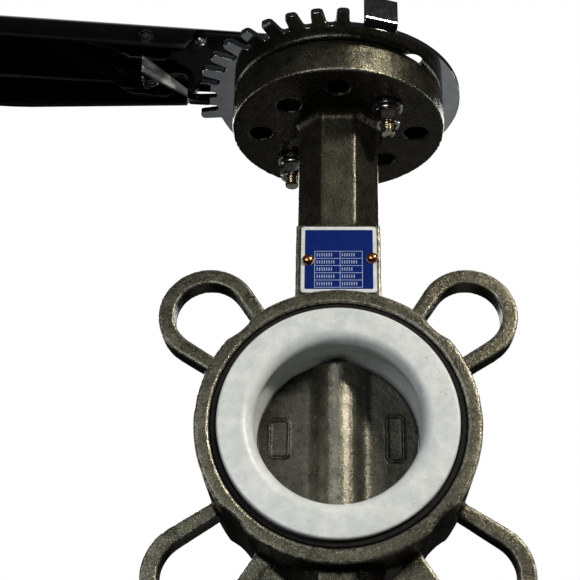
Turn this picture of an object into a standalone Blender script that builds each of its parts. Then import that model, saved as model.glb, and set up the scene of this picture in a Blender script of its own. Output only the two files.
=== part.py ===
"""Lever-operated butterfly valve for a 50 mm pipe, closed: body, seat, disc, stem, notch plate and handle.

Metres, +Z up. The origin is where the stem's axis (Z) crosses the pipe's axis (Y), and the front is -Y.
The handle's own frame has X along the handle, outwards from the stem, and is turned to HANDLE_AZIMUTH.
"""
import math

import bmesh
import bpy
from mathutils import Matrix, Vector

MM = 0.001
GAP = 0.3 * MM                      # left between neighbouring pieces
OVERRUN = 3.0 * MM                  # how far a cutter runs past what it cuts
BIG = 64                            # facets round a large circle
MEDIUM = 32                         # facets round a shaft or bush
SMALL = 16                          # facets round a fastener

# Body casting
RING_R = 45.4 * MM
RING_HALF = 21.5 * MM               # half of the 43 mm face-to-face length
BORE_R = 33.0 * MM
POCKET_R = 40.5 * MM
POCKET_DEPTH = 5.0 * MM
LOOP_CENTRE_R = 63.0 * MM
LOOP_OUTER_R = 17.2 * MM
LOOP_INNER_R = 11.7 * MM
LOOP_HALF = 4.0 * MM
LOOP_OUTER_TAPER = math.radians(13)
LOOP_INNER_TAPER = math.radians(11)
LOOP_ROOT_R = 41.5 * MM             # how near the bore axis the loop's legs begin
# The web from each lower loop's leg to the boss: distance from the stem's axis and height
LOWER_WEB = ((25.5 * MM, -37.0 * MM), (26.0 * MM, -42.5 * MM), (29.5 * MM, -48.5 * MM),
             (29.5 * MM, -51.5 * MM), (20.0 * MM, -53.0 * MM), (12.5 * MM, -55.0 * MM),
             (12.5 * MM, -48.5 * MM), (16.3 * MM, -45.8 * MM), (22.5 * MM, -39.7 * MM))
WEB_HALF = 3.8 * MM
SCALLOP_R = 19.0 * MM
NECK_ACROSS = 28.8 * MM             # across the flats of the octagon
# The neck's spread under the flange: size across the flats and height
COLLAR = ((28.6 * MM, 118.0 * MM), (29.6 * MM, 119.0 * MM), (33.4 * MM, 121.3 * MM))
PAD_HALF = 14.6 * MM
PAD_TOP = 73.5 * MM
FLARE_R = 5.0 * MM
BOSS_BOTTOM = -63.0 * MM
FLANGE_R = 39.5 * MM
FLANGE_BOTTOM = 120.8 * MM
FLANGE_TOP = 134.0 * MM
FLANGE_CHAMFER = 0.9 * MM            # round the flange's top edge
FLANGE_HOLE_R = 4.3 * MM
AXIS_HOLES_R = 28.9 * MM            # circle of the holes at 0, 90, 180 and 270 degrees
DIAGONAL_HOLES_R = 25.1 * MM        # circle of the holes at 45, 135, 225 and 315 degrees

# Stem and its bearings
STEM_R = 6.0 * MM
STEM_SQUARE = 8.4 * MM
SOCKET_SQUARE = 9.0 * MM
STEM_FOOT = 5.5 * MM
STEM_ROUND_FROM = 28.0 * MM
STEM_ROUND_TO = 138.0 * MM
STEM_TOP = 152.6 * MM
STUB_TOP = -8.5 * MM
STUB_BOTTOM = -57.0 * MM
PLUG_HEX = 19.0 * MM
PLUG_HEAD = 4.0 * MM
WALL_HOLE_R = 6.6 * MM
HOUSING_R = 8.3 * MM
HOUSING_FLOOR = 38.3 * MM
WALL_HOLE_FROM = 25.0 * MM          # inside the bore, where the hole through the ring's wall starts
BUSH_INNER_R = STEM_R + GAP
BUSH_OUTER_R = HOUSING_R - GAP
LOWER_BUSH = (38.6 * MM, 62.0 * MM)
SPACER = (64.4 * MM, 104.2 * MM)
UPPER_BUSH = (106.6 * MM, 131.0 * MM)
RETAINER = (131.3 * MM, 132.8 * MM)
STUB_BUSH = (-56.0 * MM, -38.6 * MM)
SEAL_HEIGHTS = (63.2 * MM, 105.4 * MM)
SEAL_WIRE_R = 0.85 * MM

# Seat
SEAT_BORE_R = 26.6 * MM
SEAT_TUBE_R = 29.3 * MM
SEAT_LIP_R = 4.4 * MM
SEAT_OUTER_R = 38.2 * MM
SEAT_FACE = 22.9 * MM
SEAT_BACK = 19.3 * MM
BACKING_OUTER_R = POCKET_R - GAP
BACKING_FACE = 20.9 * MM

# Disc
DISC_R = 26.3 * MM
DISC_HALF = 2.6 * MM
HUB_R = 8.5 * MM
HUB_FILLET_R = 5.0 * MM
FRAME_LINE = 0.6 * MM
FRAME_HEIGHT = 0.7 * MM
FRAMES = ((-19.4 * MM, 6.8 * MM, 13.5 * MM), (18.6 * MM, 6.0 * MM, 16.0 * MM))   # centre x, width, height

# Nameplate
PLATE_CENTRE = (0.2 * MM, 59.7 * MM)
PLATE_SIZE = (25.8 * MM, 25.2 * MM)
PLATE_THICK = 0.6 * MM
RIVETS = {"rivet_left": (-10.3 * MM, 59.3 * MM), "rivet_right": (11.5 * MM, 60.0 * MM)}
RIVET_HEAD_R = 1.95 * MM
RIVET_SHANK_R = 1.2 * MM
RIVET_DOME = 1.3 * MM
RIVET_END = 10.0 * MM               # how far from the pipe's axis plane the shank ends

# Notch plate
NOTCH_BOTTOM = FLANGE_TOP + GAP
NOTCH_BORE_R = 8.6 * MM
NOTCH_TOP = NOTCH_BOTTOM + 2.0 * MM
NOTCH_ROOT_R = 45.9 * MM
NOTCH_TIP_R = 53.3 * MM
NOTCH_COUNT = 11
NOTCH_FIRST = math.radians(171.9)
NOTCH_PITCH = math.radians(10)
TOOTH_ROOT_HALF = math.radians(3.2)
TOOTH_TIP_HALF = math.radians(2.2)
TOOTH_CORNER = 0.8 * MM
STOP_AZIMUTH = math.radians(288.4)
STOP_WIDTH = 12.0 * MM
STOP_TOP = 147.0 * MM
STOP_THICK = 2.0 * MM
STOP_INSET = 0.3 * MM
STOP_BEND = 1.0 * MM
STOP_FOOT = 3.0 * MM
NOTCH_SPARE_HOLES_R = 36.5 * MM
NOTCH_SPARE_HOLE_R = 4.5 * MM
NOTCH_EDGE_STEPS = 44

# Fastener sets of the notch plate
BOLT_R = 2.7 * MM
BOLT_HOLE_R = 3.0 * MM
HEX_ACROSS = 8.6 * MM
BOLT_HEAD = 4.0 * MM
BOLT_END = 108.6 * MM
NUT_HEIGHT = 4.8 * MM
WASHER_R = 5.7 * MM
WASHER_THICK = 1.2 * MM
SPRING_WASHER_R = 4.7 * MM
SPRING_WASHER_THICK = 1.5 * MM
BOLT_AZIMUTHS = {"near": math.radians(315), "far": math.radians(135)}

# Handle
HANDLE_AZIMUTH = math.radians(185)
HANDLE_TOP = 153.0 * MM
SHEET = 2.2 * MM
HANDLE_UNDER = HANDLE_TOP - SHEET
HANDLE_LENGTH = 230.0 * MM
HEAD_HALF = 17.5 * MM
GRIP_HALF = 20.0 * MM
TAIL_HALF = 18.5 * MM
WIDEST_AT = 130.0 * MM
WALL_FROM = 54.0 * MM
WALL_STEP = 3.0 * MM
WALL_BOTTOM_NEAR = 143.0 * MM
WALL_BOTTOM_FAR = 139.0 * MM
WALL_FULL_AT = 167.0 * MM
RIM_BOTTOM = 149.6 * MM
FRONT_WALL_BOTTOM = 143.2 * MM         # the wall on the front side is shallower
FRONT_WALL_TO = (150.0 * MM, 168.0 * MM)
FRONT_WALL_Y = (5.0 * MM, 30.0 * MM)
HUB_BLOCK_R = 14.0 * MM
HUB_BLOCK = (138.6 * MM, 150.5 * MM)
SCREW_TAP_R = 3.2 * MM
SCREW_R = 2.9 * MM
SCREW_END = 143.5 * MM
SCREW_WASHER_R = 8.0 * MM
SCREW_WASHER_THICK = 1.3 * MM
SCREW_HEX = 10.0 * MM

# Latch trigger, with its pivot's place in the handle's frame
PIVOT_X = 72.0 * MM
PIVOT_Z = 146.5 * MM
PIN_R = 2.0 * MM
PIN_HOLE_R = 2.3 * MM
PIN_HALF = 19.3 * MM
TRIGGER_SHEET = 1.6 * MM
TRIGGER_TOP = 149.2 * MM
TRIGGER_FROM = 80.0 * MM
TRIGGER_TO = 176.0 * MM
TRIGGER_NARROW = 12.5 * MM
TRIGGER_WIDE = 16.9 * MM
TRIGGER_JOG = (108.0 * MM, 114.0 * MM)
LATCH_Y = 1.68 * MM                 # the latch arm stands off the handle's centre line by this
LATCH_THICK = 2.6 * MM
EAR_Y = 12.3 * MM
# Millimetres along the handle and above the pipe's axis
EAR_PROFILE = ((63, 143.2), (66, 141.8), (78, 141.8), (86, 146.5), (86, 149.0), (65, 149.0), (63, 147.5))
ARM_PROFILE = ((88, 149.0), (70, 149.0), (61, 147.2), (56.4, 144.8), (54.2, 141.5), (54.2, 133.7),
               (48.3, 133.7), (48.3, 130.9), (48.7, 130.4), (55.6, 130.4), (56.8, 132.0), (56.8, 140.5),
               (58.7, 142.0), (66, 142.2), (78, 142.2), (88, 148.0))
SPRING_WIRE_R = 0.45 * MM
SPRING_COIL_R = 3.0 * MM
SPRING_TURNS = 3
SPRING_STEPS = 10                   # points in each turn of the coil
SPRING_LEG = 10.0 * MM
SPRING_SPAN = (-9.4 * MM, -2.6 * MM)

STEEL_CAST = ((0.30, 0.29, 0.25), 0.48, 0.9)
STEEL_TURNED = ((0.62, 0.62, 0.60), 0.28, 1.0)
ZINC = ((0.62, 0.66, 0.68), 0.35, 1.0)
BLACK_PAINT = ((0.012, 0.012, 0.013), 0.18, 0.0)
PTFE = ((0.86, 0.90, 0.92), 0.42, 0.0)
RUBBER = ((0.015, 0.015, 0.016), 0.7, 0.0)
BLUE_PLATE = ((0.004, 0.045, 0.30), 0.35, 0.1)
COPPER = ((0.72, 0.32, 0.14), 0.25, 1.0)
BRONZE = ((0.55, 0.40, 0.20), 0.35, 1.0)


def clear_scene():
    for obj in list(bpy.data.objects):
        bpy.data.objects.remove(obj, do_unlink=True)


def new_collection(name):
    group = bpy.data.collections.new(name)
    bpy.context.scene.collection.children.link(group)
    return group


def arc(centre, radius, start, end, count):
    """Points on an arc in a plane, from one angle to the other, both included."""
    steps = [start + (end - start) * i / count for i in range(count + 1)]
    return [(centre[0] + radius * math.cos(a), centre[1] + radius * math.sin(a)) for a in steps]


def circle(centre, radius, count):
    return arc(centre, radius, 0, 2 * math.pi, count)[:-1]


def polygon(centre, across, sides):
    """Regular polygon by its size across the flats, with a flat on the +X side."""
    radius = across / 2 / math.cos(math.pi / sides)
    turn = math.pi / sides
    return [(centre[0] + radius * math.cos(turn + 2 * math.pi * i / sides),
             centre[1] + radius * math.sin(turn + 2 * math.pi * i / sides)) for i in range(sides)]


def rectangle(centre, width, height, corner=0.0, count=3):
    """Rectangle, with rounded corners where corner is above 0."""
    u, v = width / 2, height / 2
    if corner == 0:
        return [(centre[0] + s * u, centre[1] + t * v) for s, t in ((1, -1), (1, 1), (-1, 1), (-1, -1))]
    points = []
    for i, (s, t) in enumerate(((1, 1), (-1, 1), (-1, -1), (1, -1))):
        middle = (centre[0] + s * (u - corner), centre[1] + t * (v - corner))
        points += arc(middle, corner, i * math.pi / 2, (i + 1) * math.pi / 2, count)
    return points


def mirrored(points):
    """The points and their mirror images across the first axis, as one closed outline."""
    return points + [(u, -v) for u, v in reversed(points) if abs(v) > 1e-9]


def polar(radius, azimuth):
    return (radius * math.cos(azimuth), radius * math.sin(azimuth))


def finish_mesh(name, bm, matrix):
    """Closes a bmesh's seams, points its faces outwards and returns it as a mesh in its place."""
    bmesh.ops.remove_doubles(bm, verts=bm.verts, dist=1e-6)
    bmesh.ops.recalc_face_normals(bm, faces=bm.faces)
    mesh = bpy.data.meshes.new(name)
    bm.to_mesh(mesh)
    bm.free()
    mesh.transform(matrix)
    mesh.update()
    return mesh


UPRIGHT = Matrix.Rotation(math.radians(90), 4, "X")      # takes (u, v, w) to (u, -w, v)
ALONG_PIPE = Matrix.Rotation(math.radians(-90), 4, "X")  # takes the Z axis to the Y axis


def curve_mesh(name, curve, matrix):
    """Takes a curve drawn in millimetres to a closed mesh in metres."""
    holder = bpy.data.objects.new(name, curve)
    bpy.context.scene.collection.objects.link(holder)
    filled = bpy.data.meshes.new_from_object(holder.evaluated_get(bpy.context.evaluated_depsgraph_get()))
    bm = bmesh.new()
    bm.from_mesh(filled)
    bpy.data.objects.remove(holder)
    bpy.data.meshes.remove(filled)
    bm.transform(Matrix.Scale(MM, 4))
    return finish_mesh(name, bm, matrix)


def add_spline(curve, points):
    spline = curve.splines.new("POLY")
    spline.points.add(len(points) - 1)
    for point, place in zip(spline.points, points):
        point.co = (*(Vector(place).to_3d() / MM), 1)
    return spline


def extruded(name, outlines, low, high, matrix=Matrix.Identity(4)):
    """A flat outline, with any holes, filled between two heights. Returns a mesh."""
    curve = bpy.data.curves.new(name, "CURVE")
    curve.dimensions = "2D"
    curve.fill_mode = "BOTH"
    curve.extrude = (high - low) / 2 / MM
    for outline in outlines:
        add_spline(curve, outline).use_cyclic_u = True
    return curve_mesh(name, curve, matrix @ Matrix.Translation((0, 0, (low + high) / 2)))


def turned(name, profile, steps, matrix=Matrix.Identity(4)):
    """A profile of (radius, height) turned about Z. It is closed unless it starts and ends on the axis."""
    bm = bmesh.new()
    verts = [bm.verts.new((r, 0, h)) for r, h in profile]
    on_axis = profile[0][0] == 0 and profile[-1][0] == 0
    pairs = list(zip(verts, verts[1:])) + ([] if on_axis else [(verts[-1], verts[0])])
    edges = [bm.edges.new(pair) for pair in pairs]
    bmesh.ops.spin(bm, geom=verts + edges, cent=(0, 0, 0), axis=(0, 0, 1), angle=2 * math.pi,
                   steps=steps, use_merge=True)
    return finish_mesh(name, bm, matrix)


def rod(name, radius, low, high, steps, matrix=Matrix.Identity(4)):
    return turned(name, [(0, low), (radius, low), (radius, high), (0, high)], steps, matrix)


def tube(name, inner, outer, low, high, steps, matrix=Matrix.Identity(4)):
    return turned(name, [(inner, low), (outer, low), (outer, high), (inner, high)], steps, matrix)


def wire_mesh(name, points, radius):
    """A round wire through a list of points, as a closed mesh."""
    curve = bpy.data.curves.new(name, "CURVE")
    curve.dimensions = "3D"
    curve.bevel_depth = radius / MM
    curve.bevel_resolution = 2
    curve.use_fill_caps = True
    add_spline(curve, points)
    return curve_mesh(name, curve, Matrix.Identity(4))


class Shop:
    """Puts meshes into the scene as parts or as cutters, and joins and cuts them."""

    def __init__(self):
        self.parts = new_collection("butterfly_valve")
        self.tools = new_collection("cutters")
        self.materials = {}

    def material(self, name, finish):
        if name not in self.materials:
            colour, roughness, metallic = finish
            material = bpy.data.materials.new(name)
            material.use_nodes = True
            shader = material.node_tree.nodes["Principled BSDF"]
            shader.inputs["Base Color"].default_value = (*colour, 1)
            shader.inputs["Roughness"].default_value = roughness
            shader.inputs["Metallic"].default_value = metallic
            self.materials[name] = material
        return self.materials[name]

    def part(self, name, mesh, finish, parent=None):
        mesh.materials.append(self.material(name + "_finish", finish))
        mesh.shade_smooth()
        mesh.set_sharp_from_angle(angle=math.radians(35))
        obj = bpy.data.objects.new(name, mesh)
        self.parts.objects.link(obj)
        obj.parent = parent
        return obj

    def shape(self, obj, mesh, operation):
        """Adds a Boolean whose other shape shares the object's frame."""
        tool = bpy.data.objects.new(mesh.name + "_tool", mesh)
        tool.hide_render = True
        tool.display_type = "WIRE"
        tool.parent = obj.parent
        self.tools.objects.link(tool)
        modifier = obj.modifiers.new(mesh.name, "BOOLEAN")
        modifier.operation = operation
        modifier.solver = "EXACT"
        modifier.object = tool

    def join(self, obj, *meshes):
        for mesh in meshes:
            self.shape(obj, mesh, "UNION")

    def cut(self, obj, *meshes):
        for mesh in meshes:
            self.shape(obj, mesh, "DIFFERENCE")


def loop_outline(radius, taper, root):
    """Half of a bolt loop's edge: round the bolt, then straight and tapering in to the ring."""
    centre = (LOOP_CENTRE_R, 0)
    round_end = arc(centre, radius, 0, math.pi / 2 + taper, 12)
    u, v = round_end[-1]
    return mirrored(round_end + [(root, v - (u - root) * math.tan(taper))])


def bolt_loop(index):
    """One of the four open loops that the flange bolts pass through, on a diagonal of the ring."""
    outer = loop_outline(LOOP_OUTER_R, LOOP_OUTER_TAPER, LOOP_ROOT_R)
    inner = loop_outline(LOOP_INNER_R, LOOP_INNER_TAPER, RING_R - 2 * MM)
    place = UPRIGHT @ Matrix.Rotation(math.radians(45 + 90 * index), 4, "Z")
    return extruded(f"bolt_loop_{index}", [outer, inner], -LOOP_HALF, LOOP_HALF, place)


def lower_web(name, side):
    """The web that ties a lower loop's inner leg to the boss."""
    outline = [(side * x, z) for x, z in LOWER_WEB]
    return extruded(name, [outline if side > 0 else outline[::-1]], -WEB_HALF, WEB_HALF, UPRIGHT)


def scallop(index):
    """The hollow in the ring's edge that clears a flange bolt."""
    place = ALONG_PIPE @ Matrix.Translation((*polar(LOOP_CENTRE_R, math.radians(45 + 90 * index)), 0))
    reach = RING_HALF + OVERRUN
    return rod(f"scallop_{index}", SCALLOP_R, -reach, reach, 48, place)


def neck_flare():
    """The fillets where the neck's sides run into the ring."""
    side = PAD_HALF - 0.1 * MM
    x = side + FLARE_R
    z = math.sqrt((RING_R + FLARE_R) ** 2 - x ** 2)
    tangent = math.atan2(-z, -x)
    right = arc((x, z), FLARE_R, tangent, -math.pi, 5)
    outline = right + [(-u, v) for u, v in reversed(right)]
    return extruded("neck_flare", [outline + [(0, z - 12 * MM)]], -11 * MM, 11 * MM, UPRIGHT)


def top_flange():
    holes = []
    for i in range(4):
        holes.append(circle(polar(AXIS_HOLES_R, math.radians(90 * i)), FLANGE_HOLE_R, SMALL))
        holes.append(circle(polar(DIAGONAL_HOLES_R, math.radians(45 + 90 * i)), FLANGE_HOLE_R, SMALL))
    return extruded("top_flange", [circle((0, 0), FLANGE_R, BIG), *holes], FLANGE_BOTTOM, FLANGE_TOP)


def flange_edge_cutter():
    """A ring that takes the corner off the flange's top edge."""
    reach = FLANGE_CHAMFER + OVERRUN
    profile = [(FLANGE_R - reach, FLANGE_TOP + OVERRUN), (FLANGE_R + OVERRUN, FLANGE_TOP + OVERRUN),
               (FLANGE_R + OVERRUN, FLANGE_TOP - reach)]
    return turned("flange_edge", profile, BIG)


def neck_collar():
    """The neck's eight sides spread a little where they meet the top flange."""
    points = [(across / 2 / math.cos(math.pi / 8), z) for across, z in COLLAR]
    profile = [(0, points[0][1]), *points, (0, points[-1][1])]
    return turned("neck_collar", profile, 8, Matrix.Rotation(math.pi / 8, 4, "Z"))


def bore_cutter():
    far = RING_HALF + OVERRUN
    step = RING_HALF - POCKET_DEPTH
    profile = [(0, -far), (POCKET_R, -far), (POCKET_R, -step), (BORE_R, -step)]
    return turned("bore", profile + [(r, -y) for r, y in reversed(profile)], BIG, ALONG_PIPE)


def housing_cutter(name, inside, floor, outside):
    """The stem's hole through the ring's wall and the wider housing for its bushes."""
    profile = [(0, inside), (WALL_HOLE_R, inside), (WALL_HOLE_R, floor),
               (HOUSING_R, floor), (HOUSING_R, outside), (0, outside)]
    return turned(name, profile, MEDIUM)


def make_body(shop):
    ring = rod("ring", RING_R, -RING_HALF, RING_HALF, BIG, ALONG_PIPE)
    body = shop.part("body", ring, STEEL_CAST)
    shop.cut(body, *[scallop(i) for i in range(4)])
    shop.join(body, *[bolt_loop(i) for i in range(4)])
    octagon = polygon((0, 0), NECK_ACROSS, 8)
    shop.join(body, extruded("neck", [octagon], 38 * MM, FLANGE_BOTTOM + 1 * MM))
    pad = rectangle((0, 0), 2 * PAD_HALF, 2 * PAD_HALF)
    shop.join(body, extruded("name_pad", [pad], 39 * MM, PAD_TOP), neck_flare())
    shop.join(body, extruded("bottom_boss", [octagon], BOSS_BOTTOM, -38 * MM))
    shop.join(body, lower_web("right_web", 1), lower_web("left_web", -1))
    shop.join(body, neck_collar(), top_flange())
    shop.cut(body, bore_cutter(), flange_edge_cutter())
    shop.cut(body, housing_cutter("neck_housing", WALL_HOLE_FROM, HOUSING_FLOOR, FLANGE_TOP + OVERRUN))
    shop.cut(body, housing_cutter("boss_housing", -WALL_HOLE_FROM, -HOUSING_FLOOR, BOSS_BOTTOM - OVERRUN))
    for name, (x, z) in RIVETS.items():
        place = Matrix.Translation((x, 0, z)) @ UPRIGHT
        shop.cut(body, rod(name + "_hole", RIVET_SHANK_R + GAP, 9 * MM, 20 * MM, 12, place))
    return body


def stem_holes(shop, part, name):
    """The two holes that let the stem and the stub through a seat ring."""
    for side, low, high in (("upper", 20 * MM, 45 * MM), ("lower", -45 * MM, -20 * MM)):
        shop.cut(part, rod(f"{name}_{side}_hole", BUSH_INNER_R, low, high, MEDIUM))


def make_seat(shop):
    """The white PTFE seat and the black rubber ring that backs it."""
    lip_centre = (SEAT_BORE_R + SEAT_LIP_R, -(SEAT_FACE - SEAT_LIP_R))
    lip = arc(lip_centre, SEAT_LIP_R, math.pi, 1.5 * math.pi, 4)
    edge = 0.6 * MM
    rim = [(SEAT_OUTER_R - edge, -SEAT_FACE), (SEAT_OUTER_R, -SEAT_FACE + edge)]
    half = lip + rim + [(SEAT_OUTER_R, -SEAT_BACK), (SEAT_TUBE_R, -SEAT_BACK)]
    profile = half + [(r, -y) for r, y in reversed(half)]
    seat = shop.part("ptfe_seat", turned("ptfe_seat", profile, BIG, ALONG_PIPE), PTFE)
    stem_holes(shop, seat, "seat")

    under = SEAT_BACK - GAP
    step = RING_HALF - POCKET_DEPTH + GAP
    inner = SEAT_TUBE_R + GAP
    half = [(inner, -under), (SEAT_OUTER_R + GAP, -under), (SEAT_OUTER_R + GAP, -BACKING_FACE),
            (BACKING_OUTER_R, -BACKING_FACE), (BACKING_OUTER_R, -step), (BORE_R - GAP, -step)]
    profile = half + [(r, -y) for r, y in reversed(half)]
    backing = shop.part("rubber_backing", turned("rubber_backing", profile, BIG, ALONG_PIPE), RUBBER)
    stem_holes(shop, backing, "backing")


def disc_section():
    """The disc seen along the stem: a round hub with fillets down to two flat wings."""
    v = DISC_HALF + HUB_FILLET_R
    u = math.sqrt((HUB_R + HUB_FILLET_R) ** 2 - v ** 2)
    hub_angle = math.atan2(v, u)
    wing = DISC_R + OVERRUN
    quarter = [(wing, DISC_HALF)] + arc((u, v), HUB_FILLET_R, -math.pi / 2, hub_angle - math.pi, 5)
    quarter += arc((0, 0), HUB_R, hub_angle, math.pi / 2, 5)
    half = quarter + [(-x, y) for x, y in reversed(quarter[:-1])]
    return half + [(x, -y) for x, y in reversed(half)]


def make_disc(shop, parent):
    """The disc lies within a sphere, so that it turns inside the seat's bore."""
    reach = DISC_R + OVERRUN
    disc = shop.part("disc", extruded("disc", [disc_section()], -reach, reach), STEEL_CAST, parent)
    upper = [HUB_R + 0.2 * MM, 6.4 * MM, 4.2 * MM, 1.5 * MM]
    heights = upper + [-y for y in reversed(upper)]
    rim = [(math.sqrt(DISC_R ** 2 - y ** 2), y) for y in heights]
    sphere = turned("disc_rim", [(0, heights[0])] + rim + [(0, heights[-1])], BIG, ALONG_PIPE)
    shop.shape(disc, sphere, "INTERSECT")
    for i, (x, width, height) in enumerate(FRAMES):
        outlines = [rectangle((x, 0), width, height, 1.6 * MM),
                    rectangle((x, 0), width - 2 * FRAME_LINE, height - 2 * FRAME_LINE, 1.0 * MM)]
        shop.join(disc, extruded(f"cast_frame_{i}", outlines, 1 * MM, DISC_HALF + FRAME_HEIGHT, UPRIGHT))
    socket = rectangle((0, 0), SOCKET_SQUARE, SOCKET_SQUARE)
    shop.cut(disc, extruded("disc_socket", [socket], STEM_FOOT - GAP, 40 * MM))
    shop.cut(disc, rod("stub_socket", BUSH_INNER_R, -40 * MM, STUB_TOP + GAP, MEDIUM))


def make_stems(shop, parent):
    square = rectangle((0, 0), STEM_SQUARE, STEM_SQUARE)
    stem = shop.part("upper_stem", rod("upper_stem", STEM_R, STEM_ROUND_FROM, STEM_ROUND_TO, MEDIUM),
                     STEEL_TURNED, parent)
    overlap = 2 * MM
    shop.join(stem, extruded("stem_tang", [square], STEM_FOOT, STEM_ROUND_FROM + overlap),
              extruded("stem_head", [square], STEM_ROUND_TO - overlap, STEM_TOP,
                       Matrix.Rotation(HANDLE_AZIMUTH, 4, "Z")))
    shop.cut(stem, rod("stem_tap", SCREW_TAP_R, SCREW_END - 1 * MM, STEM_TOP + OVERRUN, SMALL))
    shop.part("lower_stub_stem", rod("lower_stub_stem", STEM_R, STUB_BOTTOM, STUB_TOP, MEDIUM),
              STEEL_TURNED, parent)


def make_bearings(shop):
    """Bushes, O-rings, spacer and retaining ring that carry and seal the two stems."""
    sleeves = {"lower_neck_bush": (LOWER_BUSH, BRONZE), "upper_neck_bush": (UPPER_BUSH, BRONZE),
               "stub_bush": (STUB_BUSH, BRONZE), "seal_spacer": (SPACER, PTFE)}
    for name, ((low, high), finish) in sleeves.items():
        shop.part(name, tube(name, BUSH_INNER_R, BUSH_OUTER_R, low, high, MEDIUM), finish)
    centre = (BUSH_INNER_R + BUSH_OUTER_R) / 2
    for name, height in zip(("lower_o_ring", "upper_o_ring"), SEAL_HEIGHTS):
        section = circle((centre, height), SEAL_WIRE_R, 6)
        shop.part(name, turned(name, section, 24), RUBBER)
    split = 1.5 * MM
    spread = math.asin(split / centre)
    outline = (arc((0, 0), BUSH_OUTER_R, spread, 2 * math.pi - spread, 24)
               + arc((0, 0), BUSH_INNER_R, 2 * math.pi - spread, spread, 24))
    shop.part("stem_retaining_ring", extruded("stem_retaining_ring", [outline], *RETAINER), STEEL_TURNED)


def make_bottom_plug(shop):
    """The hexagon-headed plug that closes the boss under the stub stem."""
    head_top = BOSS_BOTTOM - GAP
    head = extruded("bottom_plug", [polygon((0, 0), PLUG_HEX, 6)], head_top - PLUG_HEAD, head_top)
    plug = shop.part("bottom_plug", head, STEEL_TURNED)
    shop.join(plug, rod("plug_thread", BUSH_OUTER_R, head_top - 1 * MM, STUB_BOTTOM - GAP, MEDIUM))


def make_nameplate(shop):
    front = PAD_HALF + GAP
    centre, (width, height) = PLATE_CENTRE, PLATE_SIZE
    outlines = [rectangle(centre, width, height, 1.0 * MM)]
    outlines += [circle(place, RIVET_SHANK_R + GAP, 12) for place in RIVETS.values()]
    plate = extruded("nameplate", outlines, front, front + PLATE_THICK, UPRIGHT)
    shop.part("nameplate", plate, BLUE_PLATE)
    seat = front + PLATE_THICK + GAP
    for name, (x, z) in RIVETS.items():
        cap = [(RIVET_HEAD_R * math.cos(a), seat + RIVET_DOME * math.sin(a))
               for a in (0, math.radians(30), math.radians(60))]
        profile = [(0, RIVET_END), (RIVET_SHANK_R, RIVET_END), (RIVET_SHANK_R, seat), *cap,
                   (0, seat + RIVET_DOME)]
        shop.part(name, turned(name, profile, 12, Matrix.Translation((x, 0, z)) @ UPRIGHT), COPPER)


def notch_outline():
    """The plate's edge: teeth with round-cornered tips over a quarter turn, and plain round the rest."""
    points = []
    for i in range(NOTCH_COUNT):
        middle = NOTCH_FIRST + i * NOTCH_PITCH
        shoulder_r = NOTCH_TIP_R - TOOTH_CORNER
        for radius, offset in ((NOTCH_ROOT_R, -TOOTH_ROOT_HALF), (shoulder_r, -TOOTH_TIP_HALF),
                               (NOTCH_TIP_R, -TOOTH_TIP_HALF / 2), (NOTCH_TIP_R, TOOTH_TIP_HALF / 2),
                               (shoulder_r, TOOTH_TIP_HALF), (NOTCH_ROOT_R, TOOTH_ROOT_HALF)):
            points.append(polar(radius, middle + offset))
    last = NOTCH_FIRST + (NOTCH_COUNT - 1) * NOTCH_PITCH + TOOTH_ROOT_HALF
    first = NOTCH_FIRST - TOOTH_ROOT_HALF + 2 * math.pi
    return points + arc((0, 0), NOTCH_ROOT_R, last, first, NOTCH_EDGE_STEPS)[1:-1]


def make_notch_plate(shop):
    holes = [circle((0, 0), NOTCH_BORE_R, MEDIUM)]
    for i in range(4):
        diagonal = math.radians(45 + 90 * i)
        holes.append(circle(polar(DIAGONAL_HOLES_R, diagonal), BOLT_HOLE_R, SMALL))
    for azimuth in BOLT_AZIMUTHS.values():
        holes.append(circle(polar(NOTCH_SPARE_HOLES_R, azimuth), NOTCH_SPARE_HOLE_R, SMALL))
    plate = shop.part("notch_plate", extruded("notch_plate", [notch_outline(), *holes],
                                              NOTCH_BOTTOM, NOTCH_TOP), ZINC)
    inner, outer = NOTCH_ROOT_R, NOTCH_ROOT_R + STOP_THICK
    low, high = NOTCH_BOTTOM + STOP_INSET, NOTCH_TOP - STOP_INSET
    profile = [(inner - STOP_FOOT, low), (outer - STOP_BEND, low), (outer, low + STOP_BEND),
               (outer, STOP_TOP), (inner, STOP_TOP), (inner, high), (inner - STOP_FOOT, high)]
    place = Matrix.Rotation(STOP_AZIMUTH, 4, "Z") @ UPRIGHT
    shop.join(plate, extruded("travel_stop", [profile], -STOP_WIDTH / 2, STOP_WIDTH / 2, place))


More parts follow.
